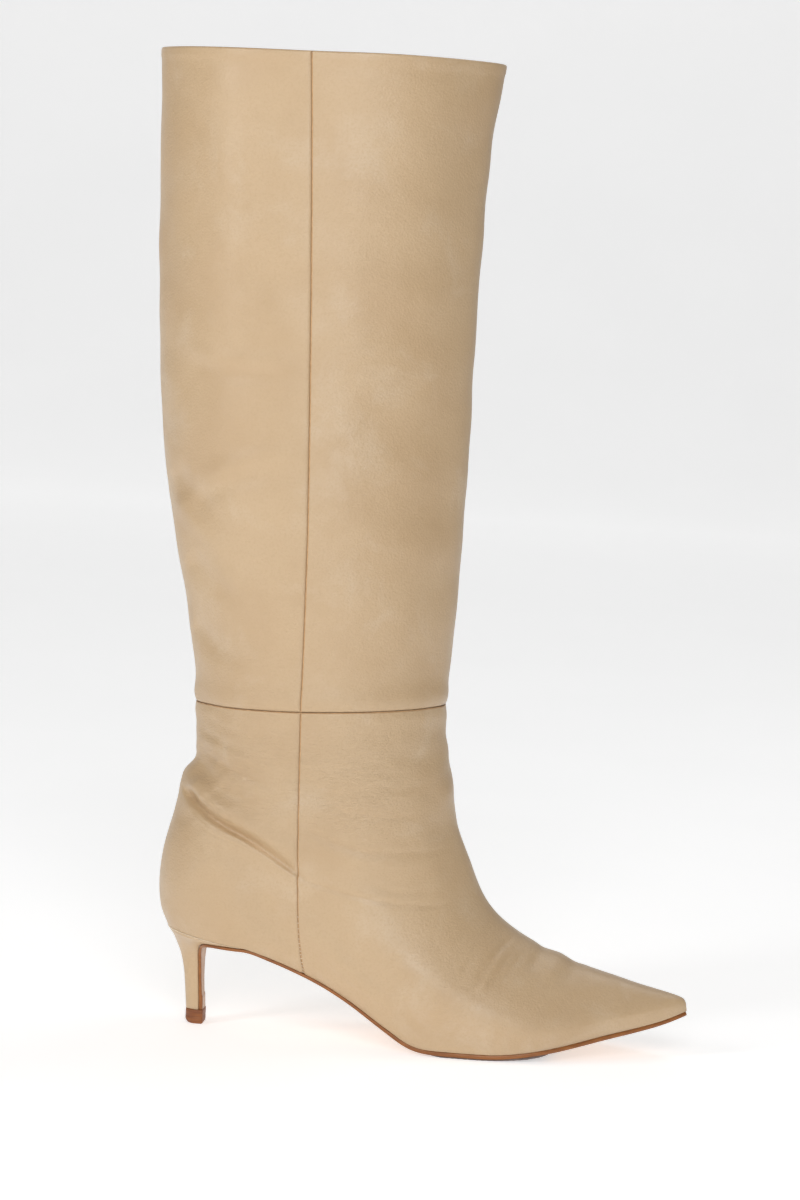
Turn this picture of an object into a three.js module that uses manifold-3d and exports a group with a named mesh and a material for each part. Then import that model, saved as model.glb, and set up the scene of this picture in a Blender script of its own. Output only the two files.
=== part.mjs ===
// A knee-high pull-on boot for the right foot: leather upper with a straight leg, pointed toe,
// thin outsole that runs down the breast of a slim kitten heel, and everything inside it.
// Millimetres. +X points to the toe, +Y to the inner (medial) side, +Z up. The wearer's outer
// (lateral) side faces -Y. The boot stands on its heel tip and on the tread under the ball.
import * as THREE from "three";
import { mergeVertices } from "three/addons/utils/BufferGeometryUtils.js";
import Module from "manifold-3d";

const wasm = await Module();
wasm.setup();

// ---------------------------------------------------------------- driving dimensions
const FOOT_LENGTH = 249.7; // back of the heel to the tip of the toe
const SEAT_HEIGHT = 46.6; // floor to the upper's lower edge, at the back of the heel
const TOE_SPRING = 22.8; // floor to the upper's lower edge, at the toe tip
const ANKLE_HEIGHT = 158; // floor to the ankle seam, at the front
const ANKLE_DIP = 5.6; // how much lower that seam is at the back
const ANKLE_BACK = 13.4; // how far the ankle seam sits in front of the heel's back
const ANKLE_LENGTH = 116.6; // front to back at the ankle seam
const SHAFT_HEIGHT = 293; // ankle seam to the top edge
const TOP_LENGTH = 158.2; // front to back at the top edge
const TOP_HALF_WIDTH = 48.5; // half of the shaft's side-to-side width at the top
const ANKLE_HALF_WIDTH = 41; // the same at the ankle seam
const BALL_HALF_WIDTH = 38; // half of the foot's width over the ball
const SEAT_HALF_WIDTH = 25; // half of the heel seat's width
const TOE_SKEW = 4; // the toe tip leans this far to the inner side

const GAP = 0.3; // air between two pieces that touch
const LEATHER = 1.2; // outer panels
const TAPE = 0.4; // seam tapes
const LINING = 0.8; // lining panels
const COUNTER = 1.6; // heel counter at its thickest
const PUFF = 1.0; // toe puff at its thickest
const SEAM_GAP = 0.9; // groove between two sewn panels
const THREAD = 0.3; // thickness of a row of stitching
const TAPE_RISE = 6; // how far the ankle seam's tape reaches up
const TAPE_CLEARANCE = 0.6; // from a tape's edge to the next stiffener
const FACING_HEIGHT = 30; // leather facing inside the top edge
const TOPLINE_TAPE_HEIGHT = 10;

const OUTSOLE = 1.8;
const SOLE_LEDGE = 0.5; // the outsole stands out past the upper by this much
const TREAD = 0.5;
const TREAD_GAP = 0.15;
const TREAD_INSET = 3; // tread edge to outsole edge
const BASE_LAYER = 1.2; // shank, shank board and filler
const INSOLE = 1.8;
const HEEL_PAD = 2;
const HEEL_PAD_LENGTH = 56;
const SOCK = 0.8;
const SOCK_LIFT = 0.6; // insole to sock lining, in front of the heel pad
const SHANK_LENGTH = 100;
const SHANK_EDGE = 3.5; // board left beside the shank's back end
const SHANK_HALF_WIDTH = 6;
const SHANK_CLEARANCE = 4; // from the shank to the board's front end, where the filler starts

const TIP_HEIGHT = 6.4; // top piece, the wearing tip of the heel
const TIP_HALF_WIDTH = 5.1;
const STEM_HALF_WIDTH = 4.7;
const HEEL_COVER = 0.9;
const SEAT_LENGTH = 44; // the heel reaches this far forward under the seat
const DOWEL_RADIUS = 1.6;
const PIN_RADIUS = 0.6;
const DOWEL_BOTTOM = [19, 0]; // the dowel's axis where it leaves the heel, x and y
const DOWEL_LEAN = 0.075; // its x moves back by this much per millimetre of height
const DOWEL_LENGTH = 23;
const PIN_DEPTH = 4.4; // how deep the pin sits in the top piece
const PIN_REACH = 13; // how far it goes up into the dowel
const SCREW = { x: 17, y: 0, radius: 1.5, head: 3, headHeight: 0.7, bite: 6 };
const NAIL = { radius: 0.7, head: 1.5, headHeight: 0.5, bite: 4 };
const NAIL_ROWS = [14.5, 21]; // x of each pair of nails
const NAIL_PLACE = 0.3; // from the shank's edge to the board's edge
const RIVET_RADIUS = 1.5;
const ROUND_SIDES = 12; // facets round a pin

// Grid of the upper. Stacked layers share it, so their facets stay parallel.
const BACK_CELLS = 16; // round the back, from side seam to side seam
const FRONT_CELLS = 32; // round the front
const FOOT_ROWS = 12;
const SHAFT_ROWS = 10;

// ---------------------------------------------------------------- small helpers
const clamp01 = (v) => Math.min(1, Math.max(0, v));
const smooth = (v) => clamp01(v) ** 2 * (3 - 2 * clamp01(v));
const mix = (a, b, f) => a + (b - a) * f;

// A smooth curve through (knots[i], values[i]).
function curve(knots, values) {
  const rise = (i) => (values[i + 1] - values[i]) / (knots[i + 1] - knots[i]);
  const last = knots.length - 1;
  const slope = knots.map((_, i) => {
    const [before, after] = [rise(Math.max(0, i - 1)), rise(Math.min(last - 1, i))];
    if (before * after <= 0) return 0; // no overshoot past a highest or lowest value
    const limit = 3 * Math.min(Math.abs(before), Math.abs(after));
    return Math.sign(before) * Math.min(limit, Math.abs(before + after) / 2);
  });
  return (x) => {
    let i = 0;
    while (i < knots.length - 2 && x > knots[i + 1]) i++;
    const h = knots[i + 1] - knots[i];
    const f = clamp01((x - knots[i]) / h);
    const g = 1 - f;
    return (
      values[i] * g * g * (1 + 2 * f) +
      slope[i] * h * f * g * g +
      values[i + 1] * f * f * (3 - 2 * f) -
      slope[i + 1] * h * f * f * g
    );
  };
}

// ---------------------------------------------------------------- the upper's surface
// The surface is a stack of rings. Ring 0 is the feather line, where the upper meets the sole,
// ring SEAM_RING is the ankle seam and the last ring is the top edge. A ring starts at the back
// (t = 0), runs along the outer side to the front (t = PI) and returns along the inner side.
const SEAM_RING = 7;
const TOP_RING = 13;
const ankleFront = ANKLE_BACK + ANKLE_LENGTH;
const seamBackHeight = ANKLE_HEIGHT - ANKLE_DIP;
const heelAt = (share) => mix(SEAT_HEIGHT, seamBackHeight, share);
const toeAt = (share) => mix(TOE_SPRING, ANKLE_HEIGHT, share);
const vampAt = (share) => mix(ankleFront, FOOT_LENGTH, share);
const legAt = (share) => ANKLE_HEIGHT + SHAFT_HEIGHT * share;
// The shaft's front edge stands forward of the ankle, and its back edge follows from its length.
function legStation(height, forward, growth) {
  const front = ankleFront + forward;
  const length = mix(ANKLE_LENGTH, TOP_LENGTH, growth);
  return [front - length, legAt(height), front, legAt(height)];
}
// share of the shaft's height, forward lean, share of its growth in length
const LEG_STATIONS = [
  [0.09, 1.5, 0.125],
  [0.24, 3.2, 0.399],
  [0.375, 3.9, 0.589],
  [0.55, 4.5, 0.71],
  [0.8, 5.4, 0.815],
  [1, 11.2, 1],
];
// back x, back z, front x, front z of every ring
const STATIONS = [
  [4.9, heelAt(0), vampAt(1), toeAt(0)],
  [1.2, heelAt(0.084), vampAt(0.975), toeAt(0.041)],
  [0, heelAt(0.202), vampAt(0.769), toeAt(0.09)],
  [1.8, heelAt(0.372), vampAt(0.472), toeAt(0.171)],
  [6.2, heelAt(0.539), vampAt(0.236), toeAt(0.298)],
  [8.6, heelAt(0.675), vampAt(0.096), toeAt(0.534)],
  [14.4, heelAt(0.785), vampAt(0.041), toeAt(0.749)],
  [ANKLE_BACK, seamBackHeight, ankleFront, ANKLE_HEIGHT],
  ...LEG_STATIONS.map((station) => legStation(...station)),
];
const ringKnots = STATIONS.map((_, k) => k);
const [backX, backZ, frontX, frontZ] = [0, 1, 2, 3].map((c) =>
  curve(
    ringKnots,
    STATIONS.map((s) => s[c]),
  ),
);

// Half-widths on the outer side. Each row is a ring; a column is a place along it, from the back
// (0) to the front (1). A constant row is an ellipse, and smaller ends make it more pointed.
const ALONG = [0, 0.12, 0.3, 0.5, 0.7, 0.88, 1];
const FOOT_ROWS_OF_WIDTH = [
  [46, 38.5, 26, 34.5, 37.5, 25.5, 15],
  [49, 43, 30, 34.5, 38, 28, 18],
  [50, 46.5, 31.5, 34.5, 40, 31.5, 25],
  [45, 46.5, 34, 34, 39.5, 34.5, 28],
  [38, 43, 35, 34.5, 38, 36.5, 30],
  [34, 39, 37, 36.5, 37.5, 37, 31],
  [32, 37, 39, 38.5, 38.5, 37, 33],
];
const SEAT_SHARE = SEAT_HALF_WIDTH / 25;
const BALL_SHARE = BALL_HALF_WIDTH / 38;
const LEG_SHAPE = [0.81, 0.94, 1, 1, 0.985, 0.93, 0.81];
const legRow = (halfWidth, flatten) => LEG_SHAPE.map((f) => f * halfWidth * flatten(f));
const footRows = FOOT_ROWS_OF_WIDTH.map((row) =>
  row.map((w, c) => w * mix(SEAT_SHARE, BALL_SHARE, smooth(ALONG[c] / 0.5))),
);
const legRows = [0, ...LEG_STATIONS.map((station) => station[2])].map((share) =>
  legRow(mix(ANKLE_HALF_WIDTH, TOP_HALF_WIDTH, share), (f) => mix(1, f > 0.9 ? 1 : 0.96, share)),
);
const WIDTH_ROWS = [...footRows, ...legRows];
const alongRing = WIDTH_ROWS.map((row) => curve(ALONG, row));
// The inner side is hollower at the waist of the foot.
const hollow = curve(ALONG, [0, 0, 6.5, 2, 1, 0.8, 0]);
const HOLLOW_RINGS = 4.5;

function halfWidth(along, ring, side) {
  const width = curve(
    ringKnots,
    alongRing.map((f) => f(along)),
  )(ring);
  const inward = hollow(along) * clamp01(1 - ring / HOLLOW_RINGS) ** 1.5;
  return side > 0 ? width - inward : width;
}

// Height of the upper's lower edge, along the foot: heel seat, arch, ball and toe spring.
const ballLift = GAP + OUTSOLE + TREAD_GAP + TREAD; // floor to the upper's edge under the ball
const waistAt = (share) => mix(ballLift, SEAT_HEIGHT, share);
const featherHeight = curve(
  [4.9, 28, 56, 76, 96, 113, 126, 139, 160, 185, 213, FOOT_LENGTH].map((x) =>
    x === FOOT_LENGTH ? x : (x / 249.7) * FOOT_LENGTH,
  ),
  [
    SEAT_HEIGHT,
    waistAt(0.93),
    waistAt(0.835),
    waistAt(0.667),
    waistAt(0.434),
    waistAt(0.19),
    waistAt(0.03),
    ballLift,
    ballLift,
    mix(ballLift, TOE_SPRING, 0.147),
    mix(ballLift, TOE_SPRING, 0.491),
    TOE_SPRING,
  ],
);
const skewAt = (x) => TOE_SKEW * smooth((x / FOOT_LENGTH - 0.5) / 0.5);
// How far a ring's line leaves the straight line between its ends: all of the sole's curve at
// the feather line, none at the ankle.
const sag = (along) =>
  featherHeight(mix(STATIONS[0][0], FOOT_LENGTH, along)) - mix(SEAT_HEIGHT, TOE_SPRING, along);
const sagShare = (ring) => (ring < SEAM_RING ? 1 - (ring / SEAM_RING) ** 1.6 : 0);

function outerPoint(t, ring) {
  const along = (1 - Math.cos(t)) / 2;
  const side = Math.sin(t) >= 0 ? -1 : 1;
  const x = mix(backX(ring), frontX(ring), along);
  const z = mix(backZ(ring), frontZ(ring), along) + sagShare(ring) * sag(along);
  return new THREE.Vector3(x, -halfWidth(along, ring, side) * Math.sin(t) + skewAt(x), z);
}

const STEP = 1e-3;
function tangents(t, ring) {
  const low = Math.max(0, ring - STEP);
  const high = Math.min(TOP_RING, ring + STEP);
  const round = outerPoint(t + STEP, ring).sub(outerPoint(t - STEP, ring));
  const upward = outerPoint(t, high).sub(outerPoint(t, low));
  return [round.divideScalar(2 * STEP), upward.divideScalar(high - low)];
}

// A point at a depth under the upper's outer face. In the toe tip, deep layers turn thinner and
// stand further back, as the puff and the filler take up the point of a real toe.
const TIP_ZONE = 45;
const TIP_SKIVE = 0.45;
const TIP_PULL = 3;
function wallPoint(t, ring, depth) {
  const p = outerPoint(t, ring);
  const [round, upward] = tangents(t, ring);
  const normal = round.cross(upward).normalize();
  const tip = smooth((p.x - (FOOT_LENGTH - TIP_ZONE)) / TIP_ZONE);
  p.addScaledVector(normal, -depth * (1 - TIP_SKIVE * tip));
  p.x -= Math.max(0, depth - LEATHER - GAP) * TIP_PULL * tip;
  p.z = Math.max(p.z, featherHeight(p.x) + ring * 0.5);
  return p;
}

// The side seams: their x at each ring, the same on both sides.
const SIDE_SEAM_X = ANKLE_BACK + 54.7;
const seamX = curve(
  [0, 2, SEAM_RING, 9, 11, 12, TOP_RING],
  [5.2, 3.2, 0, -0.4, -3.4, -6.5, -9.3].map((d) => SIDE_SEAM_X + d),
);
function seamAngle(ring) {
  const along = (seamX(ring) - backX(ring)) / (frontX(ring) - backX(ring));
  return Math.acos(1 - 2 * along);
}
// Turns a distance along a ring into a change of t, and one up the wall into a change of ring.
const turn = (t, ring, distance) => distance / tangents(t, ring)[0].length();
const climb = (t, ring, distance) => distance / tangents(t, ring)[1].length();

// ---------------------------------------------------------------- closed meshes
// Collects quads, then welds equal corners and drops what collapsed.
class Skin {
  constructor() {
    this.corners = [];
  }
  quad(a, b, c, d) {
    this.corners.push(a, b, c, a, c, d);
  }
  // Joins two rows of equal length. The face looks along (row direction) x (from a to b).
  strip(a, b) {
    for (let i = 0; i + 1 < a.length; i++) this.quad(a[i], a[i + 1], b[i + 1], b[i]);
  }
  // The same for the far side of a wall: it is split along the same diagonals as the near side.
  farStrip(a, b) {
    for (let i = 0; i + 1 < a.length; i++) this.quad(b[i], a[i], a[i + 1], b[i + 1]);
  }
  geometry() {
    const flat = new THREE.BufferGeometry().setFromPoints(this.corners);
    const welded = mergeVertices(flat, 1e-4);
    const from = welded.index.array;
    const kept = [];
    for (let i = 0; i < from.length; i += 3) {
      const [a, b, c] = [from[i], from[i + 1], from[i + 2]];
      if (a !== b && b !== c && c !== a) kept.push(a, b, c);
    }
    welded.setIndex(kept);
    return welded;
  }
}

// A wall of leather between two depths. rows lists its rings from the bottom up, angles(ring)
// its angles in order, and depths(t, ring) returns [outer, inner]. closed makes it a full tube.
function wall({ rows, angles, depths, closed = false }) {
  const outer = [];
  const inner = [];
  for (const ring of rows) {
    const ts = angles(ring);
    outer.push(ts.map((t) => wallPoint(t, ring, depths(t, ring)[0])));
    inner.push(ts.map((t) => wallPoint(t, ring, depths(t, ring)[1])));
    if (closed) {
      outer.at(-1).push(outer.at(-1)[0]);
      inner.at(-1).push(inner.at(-1)[0]);
    }
  }
  const skin = new Skin();
  for (let j = 0; j + 1 < rows.length; j++) {
    skin.strip(outer[j], outer[j + 1]);
    skin.farStrip(inner[j + 1], inner[j]);
  }
  skin.strip(inner[0], outer[0]);
  skin.strip(outer.at(-1), inner.at(-1));
  if (!closed) {
    const column = (grid, i) => grid.map((row) => row.at(i));
    skin.strip(column(outer, 0), column(inner, 0));
    skin.strip(column(inner, -1), column(outer, -1));
  }
  return skin.geometry();
}

// A sheet that is straight from side to side. Each station gives its upper and lower point
// [x, z] and how far it reaches to the outer (lateral) and inner (medial) side.
function ribbon(stations) {
  const edge = (side, level) =>
    stations.map((s) => new THREE.Vector3(s[level][0], s[side], s[level][1]));
  const [topOut, topIn] = [edge("lateral", "top"), edge("medial", "top")];
  const [lowOut, lowIn] = [edge("lateral", "low"), edge("medial", "low")];
  const skin = new Skin();
  skin.strip(topOut, topIn);
  skin.strip(lowIn, lowOut);
  skin.strip(lowOut, topOut);
  skin.strip(topIn, lowIn);
  skin.quad(lowOut[0], topOut[0], topIn[0], lowIn[0]);
  skin.quad(lowIn.at(-1), topIn.at(-1), topOut.at(-1), lowOut.at(-1));
  return skin.geometry();
}

const spaced = (from, to, cells) =>
  Array.from({ length: cells + 1 }, (_, i) => mix(from, to, i / cells));

// ---------------------------------------------------------------- booleans
function solidOf(geometry) {
  const bare = geometry.index ? geometry.toNonIndexed() : geometry.clone();
  for (const name of Object.keys(bare.attributes)) {
    if (name !== "position") bare.deleteAttribute(name);
  }
  const merged = mergeVertices(bare, 1e-4);
  return new wasm.Manifold(
    new wasm.Mesh({
      numProp: 3,
      vertProperties: merged.attributes.position.array,
      triVerts: new Uint32Array(merged.index.array),
    }),
  );
}
function geometryOf(solid) {
  const mesh = solid.getMesh();
  return new THREE.BufferGeometry()
    .setAttribute("position", new THREE.BufferAttribute(mesh.vertProperties, 3))
    .setIndex(new THREE.BufferAttribute(mesh.triVerts, 1));
}
const cut = (geometry, ...tools) =>
  geometryOf(tools.reduce((left, tool) => left.subtract(solidOf(tool)), solidOf(geometry)));
const join = (...pieces) => geometryOf(pieces.map(solidOf).reduce((a, b) => a.add(b)));

// A round pin between two points.
function pin(from, to, radius) {
  const a = new THREE.Vector3(...from);
  const b = new THREE.Vector3(...to);
  const length = a.distanceTo(b);
  const round = new THREE.CylinderGeometry(radius, radius, length, ROUND_SIDES);
  const up = new THREE.Vector3(0, 1, 0);
  round.applyQuaternion(
    new THREE.Quaternion().setFromUnitVectors(up, b.clone().sub(a).normalize()),
  );
  round.translate(...a.add(b).multiplyScalar(0.5).toArray());
  return round;
}

// ---------------------------------------------------------------- layers of the wall
const tapeDepth = LEATHER + GAP;
const liningDepth = tapeDepth + TAPE + GAP;
const COUNTER_TOP_RING = 3.8;
const PUFF_TOP_RING = 2.4;
const PUFF_REACH = 0.75; // how far round from the toe tip, in radians
// 1 in the middle of a stiffener and 0 at its skived edge
const counterShare = (t, ring) => {
  const fromBack = Math.min(t, 2 * Math.PI - t);
  const sideways = smooth((seamAngle(ring) - fromBack) / 0.35);
  return Math.min(sideways, smooth((COUNTER_TOP_RING - ring) / 1.2));
};
const puffShare = (t, ring) => {
  const sideways = smooth((PUFF_REACH - Math.abs(t - Math.PI)) / 0.3);
  return Math.min(sideways, smooth((PUFF_TOP_RING - ring) / 0.8));
};
const liningAt = (t, ring) =>
  liningDepth +
  (COUNTER - TAPE) * counterShare(t, ring) +
  (PUFF - TAPE) * puffShare(t, ring);

const backAngles = (ring, margin = SEAM_GAP / 2) => {
  const seam = seamAngle(ring);
  const edge = seam - turn(seam, ring, margin);
  return spaced(-edge, edge, BACK_CELLS);
};
const frontAngles = (ring, margin = SEAM_GAP / 2) => {
  const seam = seamAngle(ring);
  const edge = seam + turn(seam, ring, margin);
  return spaced(edge, 2 * Math.PI - edge, FRONT_CELLS);
};
const seamMargin = climb(Math.PI / 2, SEAM_RING, SEAM_GAP / 2);
const footRings = spaced(0, SEAM_RING - seamMargin, FOOT_ROWS);
const shaftRings = spaced(SEAM_RING + seamMargin, TOP_RING, SHAFT_ROWS);
const wrap = (t) => (t + 2 * Math.PI) % (2 * Math.PI);

const pieces = [];
const LOOK = {
  leather: { color: 0xd2b896, roughness: 0.45, metalness: 0 },
  lining: { color: 0xd9c3a3, roughness: 0.75, metalness: 0 },
  tape: { color: 0xe8e4da, roughness: 0.9, metalness: 0 },
  thread: { color: 0xb89c78, roughness: 0.7, metalness: 0 },
  soleLeather: { color: 0xa5622f, roughness: 0.5, metalness: 0 },
  board: { color: 0xb9a27e, roughness: 0.85, metalness: 0 },
  plastic: { color: 0xd8d2c4, roughness: 0.5, metalness: 0 },
  tip: { color: 0x8a4a26, roughness: 0.55, metalness: 0 },
  tread: { color: 0xa9938b, roughness: 0.8, metalness: 0 },
  steel: { color: 0x9a9c9f, roughness: 0.35, metalness: 1 },
  foam: { color: 0xe6dfcf, roughness: 0.95, metalness: 0 },
};
function piece(name, look, geometry) {
  geometry.computeVertexNormals();
  const mesh = new THREE.Mesh(geometry, new THREE.MeshStandardMaterial(LOOK[look]));
  mesh.name = name;
  pieces.push(mesh);
}

// ---------------------------------------------------------------- outer panels and stitching
const panel = () => [0, LEATHER];
piece("shaft_front_panel", "leather", wall({ rows: shaftRings, angles: frontAngles, depths: panel }));
piece("shaft_back_panel", "leather", wall({ rows: shaftRings, angles: backAngles, depths: panel }));
piece("vamp_panel", "leather", wall({ rows: footRings, angles: frontAngles, depths: panel }));
piece("heel_quarter_panel", "leather", wall({ rows: footRings, angles: backAngles, depths: panel }));

// A row of stitching lies in the groove between two panels, and a tape backs each seam.
const threadDepths = () => [LEATHER / 2 - THREAD / 2, LEATHER / 2 + THREAD / 2];
const tapeDepths = () => [tapeDepth, tapeDepth + TAPE];
function onSide(side, angles) {
  return side < 0 ? angles : angles.map((t) => 2 * Math.PI - t).reverse();
}
const threadAngles = (side) => (ring) => {
  const seam = seamAngle(ring);
  const edge = turn(seam, ring, THREAD / 2);
  return onSide(side, [seam - edge, seam + edge]);
};
// A tape covers the grid's cell on either side of the seam.
const tapeAngles = (side) => (ring) => {
  const [before, backEdge] = backAngles(ring).slice(-2);
  const [frontEdge, after] = frontAngles(ring);
  const trim = turn(seamAngle(ring), ring, TAPE_CLEARANCE);
  return onSide(side, [before + trim, backEdge, frontEdge, after - trim]);
};
const belowAnkle = SEAM_RING - climb(Math.PI / 2, SEAM_RING, TAPE_RISE + GAP);
const aboveAnkle = SEAM_RING + climb(Math.PI / 2, SEAM_RING, TAPE_RISE + GAP);
const belowTopTape = TOP_RING - climb(Math.PI / 2, TOP_RING, TOPLINE_TAPE_HEIGHT + GAP);
const footTapeRings = [...footRings.filter((r) => r < belowAnkle), belowAnkle];
const shaftTapeRings = [
  aboveAnkle,
  ...shaftRings.filter((r) => r > aboveAnkle && r < belowTopTape),
  belowTopTape,
];
for (const [side, word] of [
  [-1, "outer"],
  [1, "inner"],
]) {
  const thread = (rows) => wall({ rows, angles: threadAngles(side), depths: threadDepths });
  const tape = (rows) => wall({ rows, angles: tapeAngles(side), depths: tapeDepths });
  piece(`foot_${word}_seam_thread`, "thread", thread(footRings));
  piece(`shaft_${word}_seam_thread`, "thread", thread(shaftRings));
  piece(`foot_${word}_seam_tape`, "tape", tape(footTapeRings));
  piece(`shaft_${word}_seam_tape`, "tape", tape(shaftTapeRings));
}
// All the grid's angles of a ring, for pieces that go right round.
const allAngles = (ring) => {
  const back = backAngles(ring, 0);
  const front = frontAngles(ring, 0);
  return [...back, ...front.slice(1, -1)];
};
const threadClimb = climb(Math.PI / 2, SEAM_RING, THREAD / 2);
piece(
  "ankle_seam_thread",
  "thread",
  wall({
    rows: [SEAM_RING - threadClimb, SEAM_RING + threadClimb],
    angles: allAngles,
    depths: threadDepths,
    closed: true,
  }),
);
const tapeTopRing = aboveAnkle - climb(Math.PI / 2, SEAM_RING, GAP);
piece(
  "ankle_seam_tape",
  "tape",
  wall({
    rows: [SEAM_RING + seamMargin, tapeTopRing],
    angles: allAngles,
    depths: tapeDepths,
    closed: true,
  }),
);
const topTapeRing = TOP_RING - climb(Math.PI / 2, TOP_RING, TOPLINE_TAPE_HEIGHT);
piece(
  "topline_tape",
  "tape",
  wall({ rows: [topTapeRing, TOP_RING], angles: allAngles, depths: tapeDepths, closed: true }),
);

// ---------------------------------------------------------------- stiffeners
const stiffener = (t, ring) => [tapeDepth, liningAt(wrap(t), ring) - GAP];
const counterRings = footRings.filter((r) => r < COUNTER_TOP_RING);
piece(
  "heel_counter",
  "board",
  wall({
    rows: counterRings,
    angles: (ring) => backAngles(ring).slice(1, -1),
    depths: stiffener,
  }),
);
const puffRings = footRings.filter((r) => r < PUFF_TOP_RING);
const puffCells = frontAngles(0).filter((t) => Math.abs(t - Math.PI) < PUFF_REACH).length;
const puffSkip = (FRONT_CELLS + 1 - puffCells) / 2;
piece(
  "toe_puff",
  "board",
  wall({
    rows: puffRings,
    angles: (ring) => frontAngles(ring).slice(puffSkip, FRONT_CELLS + 1 - puffSkip),
    depths: stiffener,
  }),
);

// ---------------------------------------------------------------- linings
const liningDepths = (t, ring) => {
  const depth = liningAt(wrap(t), ring);
  return [depth, depth + LINING];
};
const facingRing = TOP_RING - climb(Math.PI / 2, TOP_RING, FACING_HEIGHT);
const facingGap = climb(Math.PI / 2, TOP_RING, GAP);
const shaftLiningRings = [
  ...shaftRings.filter((r) => r < facingRing - facingGap - 0.1),
  facingRing - facingGap,
];
const lined = (rows, angles) => wall({ rows, angles, depths: liningDepths });
piece("shaft_front_lining", "lining", lined(shaftLiningRings, frontAngles));
piece("shaft_back_lining", "lining", lined(shaftLiningRings, backAngles));
piece("vamp_lining", "lining", lined(footRings, frontAngles));
piece("heel_grip_lining", "lining", lined(footRings, backAngles));
piece(
  "top_facing",
  "leather",
  wall({ rows: [facingRing, TOP_RING], angles: allAngles, depths: liningDepths, closed: true }),
);

// ---------------------------------------------------------------- plates in the sole
// Outline of the foot at the feather line, moved in by a distance: its point at angle t.
const INSET_RISE = 2.2; // the inset reaches its full value this quickly from either end
const TOE_INSET = 3; // it counts this many times over in the point of the toe
const TOE_LEDGE = 1; // and an outset this many times
function soleEdge(t, inset) {
  const along = (1 - Math.cos(t)) / 2;
  const toeInset = inset > 0 ? inset * TOE_INSET : inset * TOE_LEDGE;
  const x = mix(STATIONS[0][0] + inset, FOOT_LENGTH - toeInset, along);
  const step = inset * Math.min(1, INSET_RISE * Math.sin(t));
  const reach = (side) => Math.max(0, halfWidth(along, 0, side) * Math.sin(t) - step);
  return { x, lateral: skewAt(x) - reach(-1), medial: skewAt(x) + reach(1) };
}
const angleAt = (x, inset) => {
  const start = STATIONS[0][0] + inset;
  const end = FOOT_LENGTH - inset * (inset > 0 ? TOE_INSET : TOE_LEDGE);
  return Math.acos(1 - 2 * clamp01((x - start) / (end - start)));
};
const wallDepth = liningDepth + COUNTER - TAPE + LINING;
const plateInset = wallDepth + GAP;
// All plates in the sole share these stations, so their facets stay parallel.
const PLATE_CELLS = 34;
const plateAngles = spaced(0, Math.PI, PLATE_CELLS);
const plateX = (index) => soleEdge(plateAngles[index], plateInset).x;
const stationAfter = (x) => plateAngles.findIndex((_, i) => plateX(i) >= x);
// A plate that follows the sole's curve between two heights above the feather line.
function plate({ from = 0, to = PLATE_CELLS, bottom, top, trim = 0 }) {
  const stations = plateAngles.slice(from, to + 1).map((t) => {
    const { x, lateral, medial } = soleEdge(t, plateInset);
    const z = featherHeight(x);
    return { top: [x, z + top(x)], low: [x, z + bottom(x)], lateral, medial };
  });
  stations.at(-1).top[0] -= trim;
  stations.at(-1).low[0] -= trim;
  return ribbon(stations);
}
const insoleBottom = BASE_LAYER + GAP;
const insoleTop = insoleBottom + INSOLE;
const level = (height) => () => height;

const wideEnough = (t) => soleEdge(t, plateInset).medial > SHANK_HALF_WIDTH + SHANK_EDGE;
const shankStart = plateX(plateAngles.findIndex(wideEnough));
const shankEnd = shankStart + SHANK_LENGTH;
function strap(margin, bottom, top) {
  return ribbon(
    spaced(shankStart - margin, shankEnd + margin, 16).map((x) => {
      const z = featherHeight(x);
      const side = SHANK_HALF_WIDTH + margin;
      return { top: [x, z + top], low: [x, z + bottom], lateral: -side, medial: side };
    }),
  );
}
const seatTop = (x) => featherHeight(x) - GAP; // top of the heel block
// A pin square to the sole, between two levels over the feather line. Levels are measured
// straight up, as the plates' are.
function across(x, y, from, to, radius) {
  const slope = featherHeight(x + 0.5) - featherHeight(x - 0.5);
  const shorter = 1 / (1 + slope ** 2);
  const at = (h) => [x - slope * h * shorter, y, featherHeight(x) + h * shorter];
  return pin(at(from), at(to), radius);
}
const rivetX = shankEnd - 8;
const rivet = (margin) => across(rivetX, 0, -2 * margin, insoleTop + margin, RIVET_RADIUS + margin);
const NAILS = NAIL_ROWS.flatMap((x) => {
  const { lateral, medial } = soleEdge(angleAt(x, plateInset), plateInset);
  const place = (edge) => mix(Math.sign(edge) * (SHANK_HALF_WIDTH + GAP), edge, NAIL_PLACE);
  return [
    [x, place(lateral)],
    [x, place(medial)],
  ];
});
const screwHole = across(SCREW.x, SCREW.y, -SCREW.bite - 2 * GAP, 9, SCREW.radius + GAP);
const nailHole = ([x, y]) => across(x, y, -NAIL.bite - 2 * GAP, 9, NAIL.radius + GAP);
const seatHoles = [screwHole, ...NAILS.map(nailHole)];
const padEnd = stationAfter(HEEL_PAD_LENGTH);
const insoleSplit = stationAfter(shankEnd + SHANK_CLEARANCE);

piece(
  "shank_board",
  "board",
  cut(
    plate({ to: insoleSplit, trim: GAP, bottom: level(0), top: level(BASE_LAYER) }),
    strap(GAP, -1, BASE_LAYER + 1),
    ...seatHoles,
  ),
);
piece("steel_shank", "steel", cut(strap(0, 0, BASE_LAYER), screwHole, rivet(GAP)));
piece(
  "forepart_filler",
  "foam",
  plate({ from: insoleSplit, bottom: level(0), top: level(BASE_LAYER) }),
);
piece(
  "insole_board",
  "board",
  cut(
    plate({ bottom: level(insoleBottom), top: level(insoleTop) }),
    rivet(GAP),
    ...seatHoles,
  ),
);
piece("shank_rivet", "steel", rivet(0));

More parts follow.
